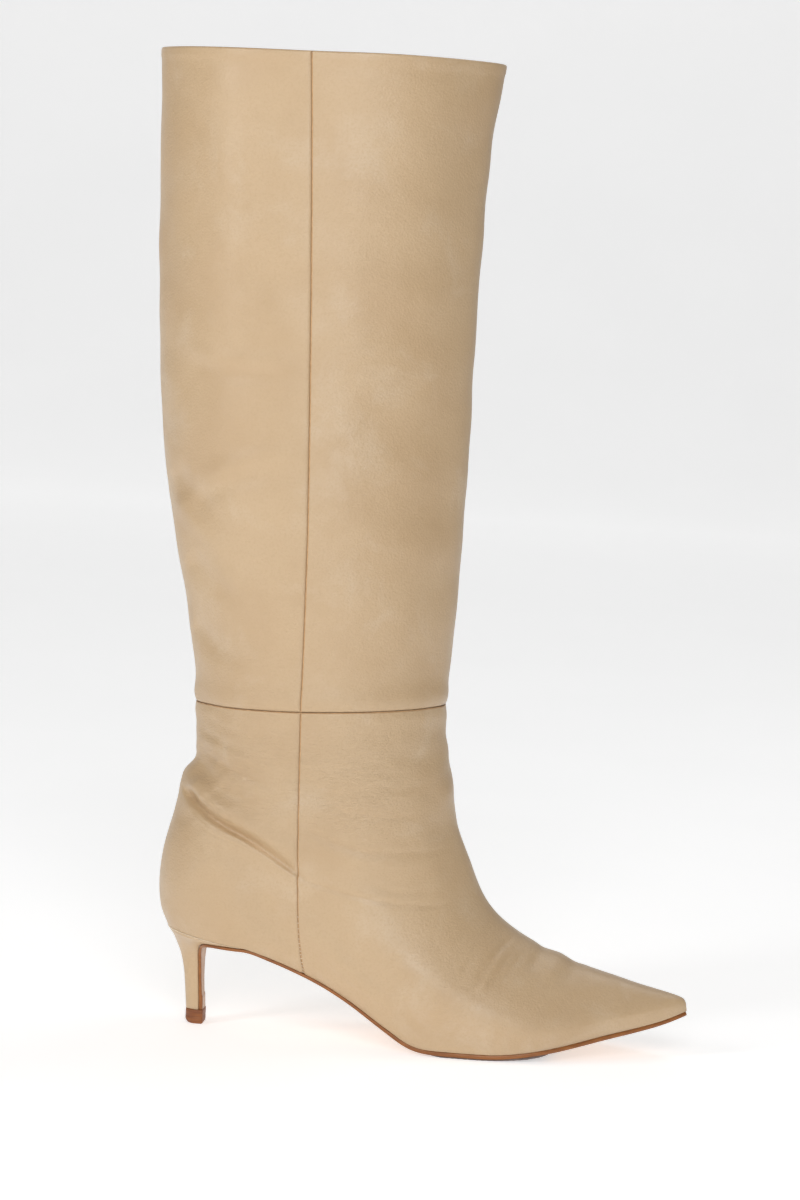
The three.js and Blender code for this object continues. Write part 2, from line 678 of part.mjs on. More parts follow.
const padBottom = insoleTop + GAP + SCREW.headHeight + 2 * GAP;
const PAD_TAPER = 16;
const padShare = (x) => smooth((plateX(padEnd) - x) / PAD_TAPER);
piece(
  "heel_pad",
  "foam",
  plate({
    to: padEnd,
    bottom: (x) => mix(insoleTop + GAP / 2, padBottom, padShare(x)),
    top: (x) => mix(insoleTop + GAP, padBottom + HEEL_PAD, padShare(x)),
  }),
);
const sockBottom = (x) => mix(insoleTop + SOCK_LIFT, padBottom + HEEL_PAD + GAP, padShare(x));
piece(
  "sock_lining",
  "lining",
  plate({
    bottom: sockBottom,
    top: (x) => sockBottom(x) + SOCK,
  }),
);

// ---------------------------------------------------------------- heel
// Levels of the heel from the top piece up to the seat: the breast (front) edge, the back edge
// and the half-width. The breast turns forward under the seat at the top.
const seatZ = seatTop(SEAT_LENGTH);
const heelZ = (share) => mix(TIP_HEIGHT + GAP, seatZ, share);
const HEEL_LEVELS = [
  { breast: [22, heelZ(0)], back: [15.3, heelZ(0)], side: STEM_HALF_WIDTH },
  { breast: [21.6, heelZ(0.24)], back: [14.5, heelZ(0.25)], side: STEM_HALF_WIDTH - 0.2 },
  { breast: [21.1, heelZ(0.5)], back: [13.5, heelZ(0.52)], side: STEM_HALF_WIDTH + 0.3 },
  { breast: [21, heelZ(0.73)], back: [11.7, heelZ(0.747)], side: STEM_HALF_WIDTH + 2.3 },
  { breast: [21.6, heelZ(0.876)], back: [9.3, heelZ(0.92)], side: 11 * SEAT_SHARE },
  { breast: [23.2, heelZ(0.955)], back: [7.8, heelZ(1.022)], side: 15.5 * SEAT_SHARE },
  { breast: [26.2, heelZ(0.99)], back: [6.5, heelZ(1.08)], side: 19 * SEAT_SHARE },
  { breast: [32, heelZ(1)], back: [5.6, heelZ(1.117)], side: 22.5 * SEAT_SHARE },
  { breast: [SEAT_LENGTH, seatZ], back: [STATIONS[0][0], seatTop(STATIONS[0][0])] },
];
const HEEL_CELLS = 12; // on each side
const seatHalf = (x, side) => {
  const along = (x - STATIONS[0][0]) / (FOOT_LENGTH - STATIONS[0][0]);
  return halfWidth(along, 0, side) * 2 * Math.sqrt(clamp01(along * (1 - along)));
};
const insetShare = (a) => Math.min(1, 2 * Math.sin(a));
// One side of a level, from the back round to the breast, moved in by a depth.
function heelRow(index, side, depth) {
  const { breast, back, side: reach } = HEEL_LEVELS[index];
  const last = index === HEEL_LEVELS.length - 1;
  return spaced(0, Math.PI / 2, HEEL_CELLS).map((a) => {
    const share = 1 - Math.cos(a);
    const x = mix(back[0] + depth, breast[0], share);
    const y = last
      ? Math.max(0, seatHalf(mix(back[0], breast[0], share), side) - depth * insetShare(a))
      : (reach - depth) * Math.sin(a);
    const z = last ? seatTop(x) : mix(back[1], breast[1], share);
    return new THREE.Vector3(x, side * y, z);
  });
}
const heelIndexes = HEEL_LEVELS.map((_, i) => i);
function heelBlock(depth) {
  const outer = heelIndexes.map((i) => heelRow(i, -1, depth));
  const inner = heelIndexes.map((i) => heelRow(i, 1, depth));
  const skin = new Skin();
  for (let i = 0; i + 1 < outer.length; i++) {
    skin.strip(outer[i], outer[i + 1]);
    skin.strip(inner[i + 1], inner[i]);
    skin.quad(outer[i].at(-1), inner[i].at(-1), inner[i + 1].at(-1), outer[i + 1].at(-1));
  }
  skin.strip(outer.at(-1), inner.at(-1));
  skin.strip(inner[0], outer[0]);
  return skin.geometry();
}
function heelWrap(thickness) {
  const round = (i, depth) => [
    ...heelRow(i, 1, depth).reverse(),
    ...heelRow(i, -1, depth).slice(1),
  ];
  const outside = heelIndexes.map((i) => round(i, 0));
  const inside = heelIndexes.map((i) => round(i, thickness));
  const skin = new Skin();
  for (let i = 0; i + 1 < outside.length; i++) {
    skin.strip(outside[i], outside[i + 1]);
    skin.farStrip(inside[i + 1], inside[i]);
    skin.quad(outside[i][0], outside[i + 1][0], inside[i + 1][0], inside[i][0]);
    skin.quad(inside[i].at(-1), inside[i + 1].at(-1), outside[i + 1].at(-1), outside[i].at(-1));
  }
  skin.strip(inside[0], outside[0]);
  skin.strip(outside.at(-1), inside.at(-1));
  return skin.geometry();
}
const dowelPoint = (z) => [
  DOWEL_BOTTOM[0] - DOWEL_LEAN * (z - TIP_HEIGHT),
  DOWEL_BOTTOM[1],
  z,
];
const dowelFoot = TIP_HEIGHT + 2 * GAP;
const dowelTop = dowelFoot + DOWEL_LENGTH;
const shaftHole = (radius, from, to) => pin(dowelPoint(from), dowelPoint(to), radius);
piece(
  "heel_block",
  "plastic",
  cut(heelBlock(HEEL_COVER + GAP), shaftHole(DOWEL_RADIUS + GAP, 0, dowelTop + GAP), ...seatHoles),
);
piece("heel_cover", "leather", heelWrap(HEEL_COVER));
piece(
  "heel_dowel",
  "steel",
  cut(
    shaftHole(DOWEL_RADIUS, dowelFoot, dowelTop),
    shaftHole(PIN_RADIUS + GAP, 0, TIP_HEIGHT + PIN_REACH + GAP),
  ),
);

// The top piece: a D in plan, under both the heel and the outsole's flap.
const tipFront = HEEL_LEVELS[0].breast[0] + GAP + OUTSOLE;
const tipBack = HEEL_LEVELS[0].back[0];
const tipOutline = new THREE.Shape();
tipOutline.moveTo(tipFront, TIP_HALF_WIDTH - 0.6);
tipOutline.quadraticCurveTo(tipFront, TIP_HALF_WIDTH, tipFront - 0.6, TIP_HALF_WIDTH);
const tipMiddle = tipBack + 5;
tipOutline.lineTo(tipMiddle, TIP_HALF_WIDTH);
tipOutline.absellipse(
  tipMiddle,
  0,
  tipMiddle - tipBack,
  TIP_HALF_WIDTH,
  Math.PI / 2,
  (3 * Math.PI) / 2,
);
tipOutline.lineTo(tipFront - 0.6, -TIP_HALF_WIDTH);
tipOutline.quadraticCurveTo(tipFront, -TIP_HALF_WIDTH, tipFront, -TIP_HALF_WIDTH + 0.6);
const tipBody = new THREE.ExtrudeGeometry(tipOutline, {
  depth: TIP_HEIGHT,
  bevelEnabled: false,
  curveSegments: 6,
});
const pinFoot = TIP_HEIGHT - PIN_DEPTH;
piece(
  "top_piece",
  "tip",
  cut(tipBody, shaftHole(PIN_RADIUS + GAP, pinFoot - GAP, TIP_HEIGHT + 5)),
);
piece("top_piece_pin", "steel", shaftHole(PIN_RADIUS, pinFoot, TIP_HEIGHT + PIN_REACH));

function fastener({ radius, head, headHeight, bite }, x, y) {
  const floor = insoleTop + GAP;
  return join(
    across(x, y, -GAP - bite, floor + headHeight / 2, radius),
    across(x, y, floor, floor + headHeight, head),
  );
}
piece("heel_screw", "steel", fastener(SCREW, SCREW.x, SCREW.y));
NAILS.forEach(([x, y], i) => piece(`heel_nail_${i + 1}`, "steel", fastener(NAIL, x, y)));

// ---------------------------------------------------------------- outsole and tread
// The outsole starts at the top piece, climbs the breast of the heel and runs on to the toe.
const FLAP_RUNOUT = 5; // in front of the seat, where the outsole meets the upper itself
const soleFrom = SEAT_LENGTH + FLAP_RUNOUT;
const breast = [...HEEL_LEVELS.map((row) => row.breast), [soleFrom, seatTop(soleFrom) + GAP]];
function flapStation(index) {
  const [x, z] = breast[index];
  const before = breast[Math.max(0, index - 1)];
  const after = breast[index + 1];
  const into = Math.atan2(z - before[1], x - before[0]);
  const onward = Math.atan2(after[1] - z, after[0] - x);
  const bend = index ? (into - onward) / 2 : 0;
  const heading = onward + bend;
  // out of the heel, to its front and underside
  const away = [Math.sin(heading) / Math.cos(bend), -Math.cos(heading) / Math.cos(bend)];
  const offset = (d) => [x + away[0] * d, z + away[1] * d];
  const reach = (side) => HEEL_LEVELS[index].side ?? seatHalf(x, side);
  const [top, low] = [offset(GAP), offset(GAP + OUTSOLE)];
  return { top, low, lateral: -reach(-1), medial: reach(1) };
}
function soleStation(x) {
  const { lateral, medial } = soleEdge(angleAt(x, -SOLE_LEDGE), -SOLE_LEDGE);
  const slope = featherHeight(x + 0.5) - featherHeight(x - 0.5);
  const length = Math.hypot(1, slope);
  const z = featherHeight(x) - GAP;
  const low = [x + (slope / length) * OUTSOLE, z - OUTSOLE / length];
  return { top: [x, z], low, lateral, medial };
}
const POINT_CELLS = 8; // in the point of the toe, beyond the plates
const plateEnd = plateX(PLATE_CELLS);
const inPoint = spaced(Math.PI / 2, Math.PI, POINT_CELLS).slice(1);
const soleTip = FOOT_LENGTH + SOLE_LEDGE * TOE_LEDGE;
const soleXs = [
  ...plateAngles.map((_, i) => plateX(i)).filter((x) => x > soleFrom),
  ...inPoint.map((a) => mix(plateEnd, soleTip, -Math.cos(a))),
];
const flap = HEEL_LEVELS.map((_, i) => flapStation(i));
piece("outsole", "soleLeather", ribbon([...flap, ...soleXs.map(soleStation)]));

const TREAD_FROM = 0.53; // start and end of the tread, as shares of the foot's length
const TREAD_TO = 0.758;
const treadStations = soleXs
  .filter((x) => x > TREAD_FROM * FOOT_LENGTH && x < TREAD_TO * FOOT_LENGTH)
  .map(soleStation)
  .map(({ low: [x, z], lateral, medial }) => {
    return {
      top: [x, z - TREAD_GAP],
      low: [x, z - TREAD_GAP - TREAD],
      lateral: lateral + TREAD_INSET,
      medial: medial - TREAD_INSET,
    };
  });
piece("forefoot_tread", "tread", ribbon(treadStations));

// ---------------------------------------------------------------- the whole boot
const boot = new THREE.Group();
boot.add(...pieces);
// The origin is on the floor, under the middle of the boot's bounding box.
const size = new THREE.Box3().setFromObject(boot, true);
const middle = size.getCenter(new THREE.Vector3());
boot.position.set(-middle.x, -middle.y, -size.min.z);
export default boot;
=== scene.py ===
import bpy
import math
import numpy as np
from mathutils import Matrix, Vector


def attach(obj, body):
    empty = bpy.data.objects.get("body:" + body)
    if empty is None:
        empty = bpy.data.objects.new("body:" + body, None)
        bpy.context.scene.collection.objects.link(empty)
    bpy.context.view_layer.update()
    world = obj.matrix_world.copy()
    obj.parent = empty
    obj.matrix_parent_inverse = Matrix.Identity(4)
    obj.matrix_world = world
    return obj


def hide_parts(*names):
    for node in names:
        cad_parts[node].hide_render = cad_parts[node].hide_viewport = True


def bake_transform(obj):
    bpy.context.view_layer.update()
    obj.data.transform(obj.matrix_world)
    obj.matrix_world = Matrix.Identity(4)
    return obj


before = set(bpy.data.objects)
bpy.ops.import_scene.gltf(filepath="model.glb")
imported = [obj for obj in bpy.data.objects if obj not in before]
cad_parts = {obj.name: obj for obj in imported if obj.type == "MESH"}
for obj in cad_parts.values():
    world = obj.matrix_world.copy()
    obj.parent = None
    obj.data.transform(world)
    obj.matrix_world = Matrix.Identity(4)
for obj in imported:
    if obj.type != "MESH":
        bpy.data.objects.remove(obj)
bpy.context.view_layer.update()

# Sizes are in millimetres in the boot's own frame: x runs from the heel's back (0) to the toe,
# z is up from the floor and the outer side faces -y. SHIFT moves that frame onto the row frame.
SHIFT = -(-17 + 250.2) / 2
MM = 0.001
SEAM = 7  # ring of the ankle seam
TOP = 13  # ring of the top edge
FOOT = 249.7  # length of the sole
ANKLE = 158.0  # height of the ankle seam in front
BACK_DIP = 5.6  # how much lower that seam is behind
ANKLE_BACK, ANKLE_LENGTH = 13.4, 116.6
LEG_HEIGHT, TOP_LENGTH = 293, 158.2
ANKLE_HALF, TOP_HALF = 41, 48.5  # half-widths
BALL_LIFT, SEAT, TOE = 2.75, 46.6, 22.2  # heights of the upper's lower edge
LEATHER, GAP, TAPE, LINING = 1.2, 0.3, 0.4, 0.8
SEAM_BACK = ANKLE - BACK_DIP
FRONT = ANKLE_BACK + ANKLE_LENGTH


# ---- the upper's surface
def slopes(k, v):
    rise = np.diff(v, axis=0) / np.diff(k).reshape((-1,) + (1,) * (v.ndim - 1))
    before = np.concatenate([rise[:1], rise])
    after = np.concatenate([rise, rise[-1:]])
    limit = 3 * np.minimum(abs(before), abs(after))
    mean = (before + after) / 2
    return np.where(before * after <= 0, 0, np.sign(before) * np.minimum(limit, abs(mean)))


def curve(knots, values):
    k, v = np.array(knots, float), np.array(values, float)
    m = slopes(k, v)

    def at(x):
        x = np.asarray(x, float)
        i = np.clip(np.searchsorted(k, x, side="left") - 1, 0, len(k) - 2)
        h = k[i + 1] - k[i]
        f = np.clip((x - k[i]) / h, 0, 1)
        g = 1 - f
        return (v[i] * g * g * (1 + 2 * f) + m[i] * h * f * g * g
                + v[i + 1] * f * f * (3 - 2 * f) - m[i + 1] * h * f * f * g)

    return at


def smooth(v):
    v = np.clip(v, 0, 1)
    return v * v * (3 - 2 * v)


def mix(a, b, f):
    return a + (b - a) * f


def heel_at(s):
    return mix(SEAT, SEAM_BACK, s)


def toe_at(s):
    return mix(TOE, ANKLE, s)


def vamp_at(s):
    return mix(FRONT, FOOT, s)


# levels of the leg: share of its height, how far the front lies forward, share of the widening
LEG = [(0.09, 1.5, 0.125), (0.24, 3.2, 0.399), (0.375, 3.9, 0.589), (0.55, 4.5, 0.71),
       (0.8, 5.4, 0.815), (1, 11.2, 1)]
# rings of the upper: back x and z, front x and z
STATIONS = [
    (4.9, heel_at(0), vamp_at(1), toe_at(0)),
    (1.2, heel_at(0.084), vamp_at(0.987), toe_at(0.038)),
    (0, heel_at(0.202), vamp_at(0.769), toe_at(0.09)),
    (1.8, heel_at(0.372), vamp_at(0.472), toe_at(0.171)),
    (6.2, heel_at(0.539), vamp_at(0.236), toe_at(0.298)),
    (8.6, heel_at(0.675), vamp_at(0.096), toe_at(0.534)),
    (14.4, heel_at(0.785), vamp_at(0.041), toe_at(0.749)),
    (ANKLE_BACK, SEAM_BACK, FRONT, ANKLE),
] + [(FRONT + f - mix(ANKLE_LENGTH, TOP_LENGTH, g), ANKLE + LEG_HEIGHT * h, FRONT + f,
      ANKLE + LEG_HEIGHT * h) for h, f, g in LEG]
RINGS = np.arange(len(STATIONS))
back_x, back_z, front_x, front_z = (curve(RINGS, [s[i] for s in STATIONS]) for i in range(4))
# half-widths of each ring at shares of its length
ALONG = [0, 0.12, 0.3, 0.5, 0.7, 0.88, 1]
WIDTHS = [
    (46, 38.5, 26, 34.5, 37.5, 25.5, 15),
    (49, 43, 30, 34.5, 38, 28, 18),
    (50, 46.5, 31.5, 34.5, 40, 31.5, 25),
    (45, 46.5, 34, 34, 39.5, 34.5, 28),
    (38, 43, 35, 34.5, 38, 36.5, 30),
    (34, 39, 37, 36.5, 37.5, 37, 31),
    (32, 37, 39, 38.5, 38.5, 37, 33),
]
for g in [0] + [leg[2] for leg in LEG]:
    shape = np.array([0.81, 0.94, 1, 1, 0.985, 0.93, 0.81])
    flat = np.array([mix(1, 1 if f > 0.9 else 0.96, g) for f in shape])
    WIDTHS.append(tuple(shape * flat * mix(ANKLE_HALF, TOP_HALF, g)))
width_rows = [curve(ALONG, row) for row in WIDTHS]
hollow = curve(ALONG, [0, 0, 6.5, 2, 1, 0.8, 0])  # of the arch, on the inner side


def half_width(along, ring, medial):
    along, ring = np.broadcast_arrays(np.asarray(along, float), np.asarray(ring, float))
    v = np.array([row(along) for row in width_rows])
    m = slopes(RINGS.astype(float), v)
    i = np.clip(np.ceil(ring).astype(int) - 1, 0, len(RINGS) - 2)
    f = ring - i
    g = 1 - f

    def pick(a, j):
        return np.take_along_axis(a, j[None], 0)[0]

    w = (pick(v, i) * g * g * (1 + 2 * f) + pick(m, i) * f * g * g
         + pick(v, i + 1) * f * f * (3 - 2 * f) - pick(m, i + 1) * f * f * g)
    inward = hollow(along) * np.clip(1 - ring / 4.5, 0, 1) ** 1.5
    return w - np.where(medial, inward, 0)


def waist(s):
    return mix(BALL_LIFT, SEAT, s)


BACK = STATIONS[0][0]
board_line = curve(
    [BACK, 28, 56, 76, 96, 113, 126, 139, 160, 185, 213, 238, FOOT],
    [SEAT, waist(0.93), waist(0.835), waist(0.667), waist(0.434), waist(0.19), waist(0.03),
     BALL_LIFT, BALL_LIFT, mix(BALL_LIFT, TOE, 0.147), mix(BALL_LIFT, TOE, 0.47),
     mix(BALL_LIFT, TOE, 0.78), TOE])
droop = curve([46, 58, 70, 84, 100, 116], [0, 1.3, 1.7, 1.3, 0.8, 0])


def feather(x):
    """Height of the upper's lower edge, which hangs a little under the boards in the waist."""
    return board_line(x) - droop(x)


def skew(x):
    """Sideways bend of a right foot's toe."""
    return 4 * smooth((np.asarray(x) / FOOT - 0.5) / 0.5)


def surface(t, ring):
    """Points (N, 3) of the upper's outer face. t runs round from the back, ring runs up."""
    t, ring = np.broadcast_arrays(np.asarray(t, float), np.asarray(ring, float))
    along = (1 - np.cos(t)) / 2
    x = mix(back_x(ring), front_x(ring), along)
    sag = feather(mix(BACK, FOOT, along)) - mix(SEAT, TOE, along)
    z = mix(back_z(ring), front_z(ring), along) + np.where(
        ring < SEAM, (1 - np.clip(ring / SEAM, 0, 1) ** 1.6) * sag, 0)
    y = -half_width(along, ring, np.sin(t) < 0) * np.sin(t) + skew(x)
    return np.stack([x, y, z], -1)


def tangents(t, ring):
    e = 1e-3
    low, high = np.maximum(0, ring - e), np.minimum(TOP, ring + e)
    around = (surface(t + e, ring) - surface(t - e, ring)) / (2 * e)
    upward = (surface(t, high) - surface(t, low)) / (high - low)[..., None]
    return around, upward


SIDE_SEAM = 68.1  # x of the side seams at the ankle
seam_x = curve([0, 2, SEAM, 9, 11, 12, TOP],
               [SIDE_SEAM + d for d in (5.2, 3.2, 0, -0.4, -3.4, -6.5, -9.3)])


def seam_angle(ring):
    along = (seam_x(ring) - back_x(ring)) / (front_x(ring) - back_x(ring))
    return np.arccos(1 - 2 * along)


# ---- folds and creases
def bell(d, w):
    return np.exp(-(d / w) ** 2)


WAVES = 14


def wobble(p, scale, seed):
    """Smooth seeded noise of about unit size, from a few waves."""
    rng = np.random.default_rng(seed)
    total = np.zeros(len(p))
    for _ in range(WAVES):
        d = rng.normal(size=3)
        d *= 2 * math.pi / scale / np.linalg.norm(d) * rng.uniform(0.5, 1.4)
        total += np.sin(p @ d + rng.uniform(0, 6.28))
    return total / math.sqrt(WAVES / 2)


def along_line(x, z, line):
    """Distance to a polyline in the side view, signed (+ above it), and the place along it."""
    best = np.full(x.shape, 1e9)
    sign = np.zeros(x.shape)
    place = np.zeros(x.shape)
    pts = np.array(line, float)
    s = np.linspace(0, len(pts) - 1, 10 * (len(pts) - 1) + 1)
    fine = np.stack([curve(range(len(pts)), pts[:, i])(s) for i in (0, 1)], -1)
    for i in range(len(fine) - 1):
        a, b = fine[i], fine[i + 1]
        d = b - a
        f = np.clip(((x - a[0]) * d[0] + (z - a[1]) * d[1]) / (d @ d), 0, 1)
        ox, oz = x - a[0] - f * d[0], z - a[1] - f * d[1]
        dist = np.hypot(ox, oz)
        side = np.sign(d[0] * (z - a[1]) - d[1] * (x - a[0]))
        near = dist < best
        best = np.where(near, dist, best)
        sign = np.where(near, side, sign)
        place = np.where(near, (i + f) / (len(fine) - 1), place)
    return best * sign, place


# each fold: side (-1 outer, 1 inner, 0 both), height (- in, + out), width or widths (above,
# below), line of (x, z) points, and the shares of the line over which its two ends fade
FOLDS = [
    # the deep double fold behind the ankle: valley, roll, sharp valley, counter's edge, wrinkles
    (0, -2.0, 4.6, [(12, 128), (19.5, 123), (26, 118), (34, 114), (46, 110), (60, 107)], 0.2, 0.5),
    (0, 1.7, (5.2, 4.0), [(8, 118.5), (20, 113), (31, 107.5), (41, 102.5), (52, 97), (63, 91.5),
                          (74, 85)], 0.2, 0.3),
    (0, -2.7, (3.1, 0.9), [(9, 113.5), (14.5, 109), (22, 104), (32, 99.4), (42, 94.8),
                           (50, 90.4), (58, 86), (69, 79.8), (77, 75)], 0.15, 0.3),
    (0, 0.8, (0.9, 5.0), [(9, 111), (14, 106.6), (21, 101.8), (32, 96.4), (42, 93), (50, 88.6),
                          (58, 84), (69, 77.8), (77, 73)], 0.2, 0.25),
    (0, -0.4, 0.45, [(14, 106.5), (22, 101), (33, 95.6), (43, 92), (51, 88), (62, 82)], 0.2, 0.2),
    (0, -0.35, 0.45, [(17, 101), (25, 96.6), (36, 92), (46, 88.6), (56, 84)], 0.3, 0.3),
    (0, -0.9, 2.0, [(14, 132), (28, 127), (46, 122), (66, 119)], 0.3, 0.4),
    (0, 0.6, 2.6, [(14, 138), (30, 134), (48, 130), (64, 129)], 0.3, 0.4),
    # creases over the instep and round the ankle
    (-1, -0.6, 1.0, [(70, 78), (84, 74.5), (104, 70.5), (131, 68), (153, 71)], 0.2, 0.3),
    (-1, -0.5, 1.4, [(66, 104), (82, 97), (104, 92), (128, 92), (146, 96)], 0.25, 0.3),
    (-1, 0.45, 2.6, [(70, 98), (90, 90), (112, 87), (134, 88)], 0.3, 0.35),
    (-1, -0.4, 1.4, [(74, 116), (92, 110), (112, 108), (130, 112)], 0.3, 0.3),
    (-1, -0.35, 1.3, [(100, 124), (114, 121), (128, 124)], 0.3, 0.3),
    (-1, -0.4, 1.6, [(96, 80), (118, 74), (138, 76)], 0.3, 0.3),
    (-1, -0.35, 1.2, [(84, 132), (100, 128), (124, 130)], 0.3, 0.3),
    (1, -0.5, 1.6, [(62, 108), (84, 98), (108, 94), (134, 98)], 0.25, 0.3),
    (1, -0.45, 1.5, [(80, 120), (100, 113), (124, 116)], 0.3, 0.3),
    (1, -0.4, 1.6, [(92, 84), (116, 78), (140, 78)], 0.3, 0.3),
    # toe break
    (-1, -0.5, 1.0, [(152, 31), (157, 40), (163, 49), (169, 54)], 0.3, 0.3),
    (-1, -0.45, 0.9, [(158, 30), (163, 39), (169, 48)], 0.3, 0.3),
    (-1, -0.35, 0.8, [(163, 32), (168, 40), (175, 48)], 0.3, 0.3),
    (-1, -0.35, 0.9, [(146, 36), (150, 44), (155, 53)], 0.3, 0.3),
    (-1, 0.4, 1.6, [(155, 30), (160, 39.5), (166, 49)], 0.3, 0.3),
    (1, -0.5, 1.5, [(144, 30), (152, 38), (161, 45), (170, 50)], 0.3, 0.2),
    (1, -0.35, 1.3, [(154, 27), (161, 35), (171, 43)], 0.3, 0.2),
    (0, 0.8, 4.2, [(187, 40), (191, 47)], 0.0, 0.0),
    (0, -0.5, 3.0, [(179, 43), (183, 51)], 0.0, 0.0),
    (0, -0.3, 2.5, [(196, 38), (198, 45)], 0.0, 0.0),
    # long soft creases and dents of the leg
    (-1, 0.55, 3.5, [(2, 318), (30, 313), (62, 315)], 0.3, 0.3),
    (-1, -0.55, 3.2, [(2, 311), (30, 306), (62, 308)], 0.3, 0.3),
    (-1, 0.8, 4.5, [(16, 254), (33, 267), (66, 275)], 0.3, 0.3),
    (-1, -0.9, 4.5, [(10, 244), (30, 257), (60, 265)], 0.2, 0.4),
    (-1, -0.5, 5.0, [(84, 280), (104, 300), (124, 310)], 0.4, 0.4),
    (-1, 0.5, 7.0, [(20, 415), (26, 380), (30, 345)], 0.3, 0.3),
    (1, 0.6, 4.5, [(16, 330), (40, 322), (66, 326)], 0.3, 0.3),
    (1, -0.6, 4.0, [(14, 322), (38, 314), (64, 318)], 0.3, 0.3),
    (-1, -1.7, 6.0, [(-2, 262), (14, 246), (34, 232)], 0.15, 0.5),
    (-1, 1.3, 6.0, [(2, 250), (18, 234), (38, 220)], 0.15, 0.5),
    (-1, -1.5, 5.0, [(8, 222), (24, 210), (42, 200)], 0.15, 0.5),
    (-1, -1.3, 5.0, [(12, 190), (28, 180), (46, 174)], 0.1, 0.5),
    (1, -1.7, 6.0, [(-2, 250), (16, 236), (36, 226)], 0.15, 0.5),
    (1, -1.3, 5.0, [(10, 206), (28, 196), (46, 190)], 0.15, 0.5),
    (0, -0.5, 3.5, [(14, 158), (30, 150), (50, 147)], 0.1, 0.5),
    (-1, -0.35, 2.2, [(18, 148), (36, 143), (60, 141)], 0.2, 0.4),
    (-1, -0.3, 1.8, [(16, 141), (34, 136), (56, 133)], 0.2, 0.4),
]


def displacement(p, t, ring):
    """How far the leather stands off the plain surface, outwards, and the painted shade of its
    creases.
    """
    x, z = p[:, 0], p[:, 2]
    d, crease_shade = np.zeros(len(p)), np.zeros(len(p))
    for side, depth, width, line, fade_in, fade_out in FOLDS:
        dist, place = along_line(x, z, line)
        share = np.ones(len(p))
        if fade_in:
            share *= smooth(place / fade_in)
        if fade_out:
            share *= smooth((1 - place) / fade_out)
        if side:
            share *= smooth(0.5 + np.sin(t) * -side * 3 / 2)
        above, below = width if isinstance(width, tuple) else (width, width)
        width = np.where(dist > 0, above, below)
        d += depth * share * bell(dist, width)
        # painted shade: narrow valleys darken the colour where their shade would fall
        if depth < 0 and below < 4:
            crease_shade += min(1, -depth / 1.6) * share * bell(dist, width * 0.7)
    leg = smooth((z - 165) / 40) * np.sin(t) ** 2
    d += leg * 0.9 * wobble(p * [1, 1, 0.6], 90, 5)
    d += 0.22 * wobble(p * [1, 1, 0.9], 34, 9)
    above = z - (ANKLE - BACK_DIP * smooth((FRONT - x) / 117))  # over the ankle seam
    d += 0.7 * bell(above - 5, 4.5) * (ring > SEAM) + 0.25 * bell(above + 4, 3) * (ring < SEAM)
    d += 0.35 * smooth((ring - TOP + 0.1) / 0.03)
    ankle = bell(z - 128, 26) * smooth((x - 40) / 40 + 0.5)
    d += 0.2 * ankle * wobble(p * [0.35, 0.35, 1], 9, 3)
    back = bell(z - 118, 24) * smooth((62 - x) / 30)
    d += 0.15 * back * wobble(np.stack([x * 0.5 + z * 0.4, p[:, 1] * 0.3, z - 0.6 * x], -1), 9, 4)
    # the counter keeps the heel smooth, and the toe puff the toe
    stiff = np.maximum(smooth((96 - z) / 20) * smooth((66 - x) / 14), smooth((x - 200) / 20))
    return d * (1 - 0.85 * stiff), np.clip(crease_shade * (1 - 0.7 * stiff), 0, 1)


top_edge = curve([0, 0.25, 0.46, 0.75, 1], [1.4, 0.9, 0.7, 1.3, 1.1])


def layer_points(t, ring, depth):
    """The wall at a depth under its folded outer face."""
    shape = np.broadcast(t, ring).shape
    t, ring = (np.broadcast_to(a, shape).astype(float).ravel() for a in (t, ring))
    depth = np.broadcast_to(depth, shape).astype(float).ravel()
    p = surface(t, ring)
    around, upward = tangents(t, ring)
    n = np.cross(around, upward)
    n /= np.linalg.norm(n, axis=1)[:, None]
    tip = smooth((p[:, 0] - (FOOT - 45)) / 45)
    off = displacement(p, t, ring)[0] * smooth(ring / 0.6)
    q = p + n * (off - depth * (1 - 0.45 * tip))[:, None]
    q[:, 0] -= np.maximum(0, depth - LEATHER - GAP) * 3 * tip
    # the top edge is not quite level
    rise = smooth((ring - 11.6) / 1.4)
    along = (1 - np.cos(t)) / 2
    q[:, 2] += rise * top_edge(along)
    q[:, 2] = np.maximum(q[:, 2], feather(np.minimum(q[:, 0], FOOT)) + ring * 0.5)
    return q.reshape(shape + (3,))


def turn(t, ring, mm):
    return mm / np.linalg.norm(tangents(t, ring)[0], axis=-1)


def climb(ring, mm):
    return mm / np.linalg.norm(tangents(np.full(1, math.pi / 2), np.full(1, float(ring)))[1])


# ---- meshes
def finish_mesh(name, verts, faces, material, nodes, body="foot"):
    """Makes the object, in metres, hides the CAD parts it replaces and hangs it on its body, or
    bakes it in place for both.
    """
    me = bpy.data.meshes.new(name)
    v = np.asarray(verts, float).reshape(-1, 3).copy()
    v[:, 0] += SHIFT
    me.from_pydata((v * MM).tolist(), [], [tuple(int(i) for i in f) for f in faces])
    me.validate()
    me.update()
    ob = bpy.data.objects.new(name, me)
    bpy.context.scene.collection.objects.link(ob)
    me.materials.append(material)
    me.polygons.foreach_set("use_smooth", [True] * len(me.polygons))
    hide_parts(*nodes)
    if body == "both":
        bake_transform(ob)
    else:
        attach(ob, body)
    return ob


def grid_faces(rows, cols, closed, start=0, flip=False):
    faces = []
    last = cols if closed else cols - 1
    for j in range(rows - 1):
        for i in range(last):
            a = start + j * cols + i
            b = start + j * cols + (i + 1) % cols
            quad = (a, b, b + cols, a + cols)
            faces.append(quad[::-1] if flip else quad)
    return faces


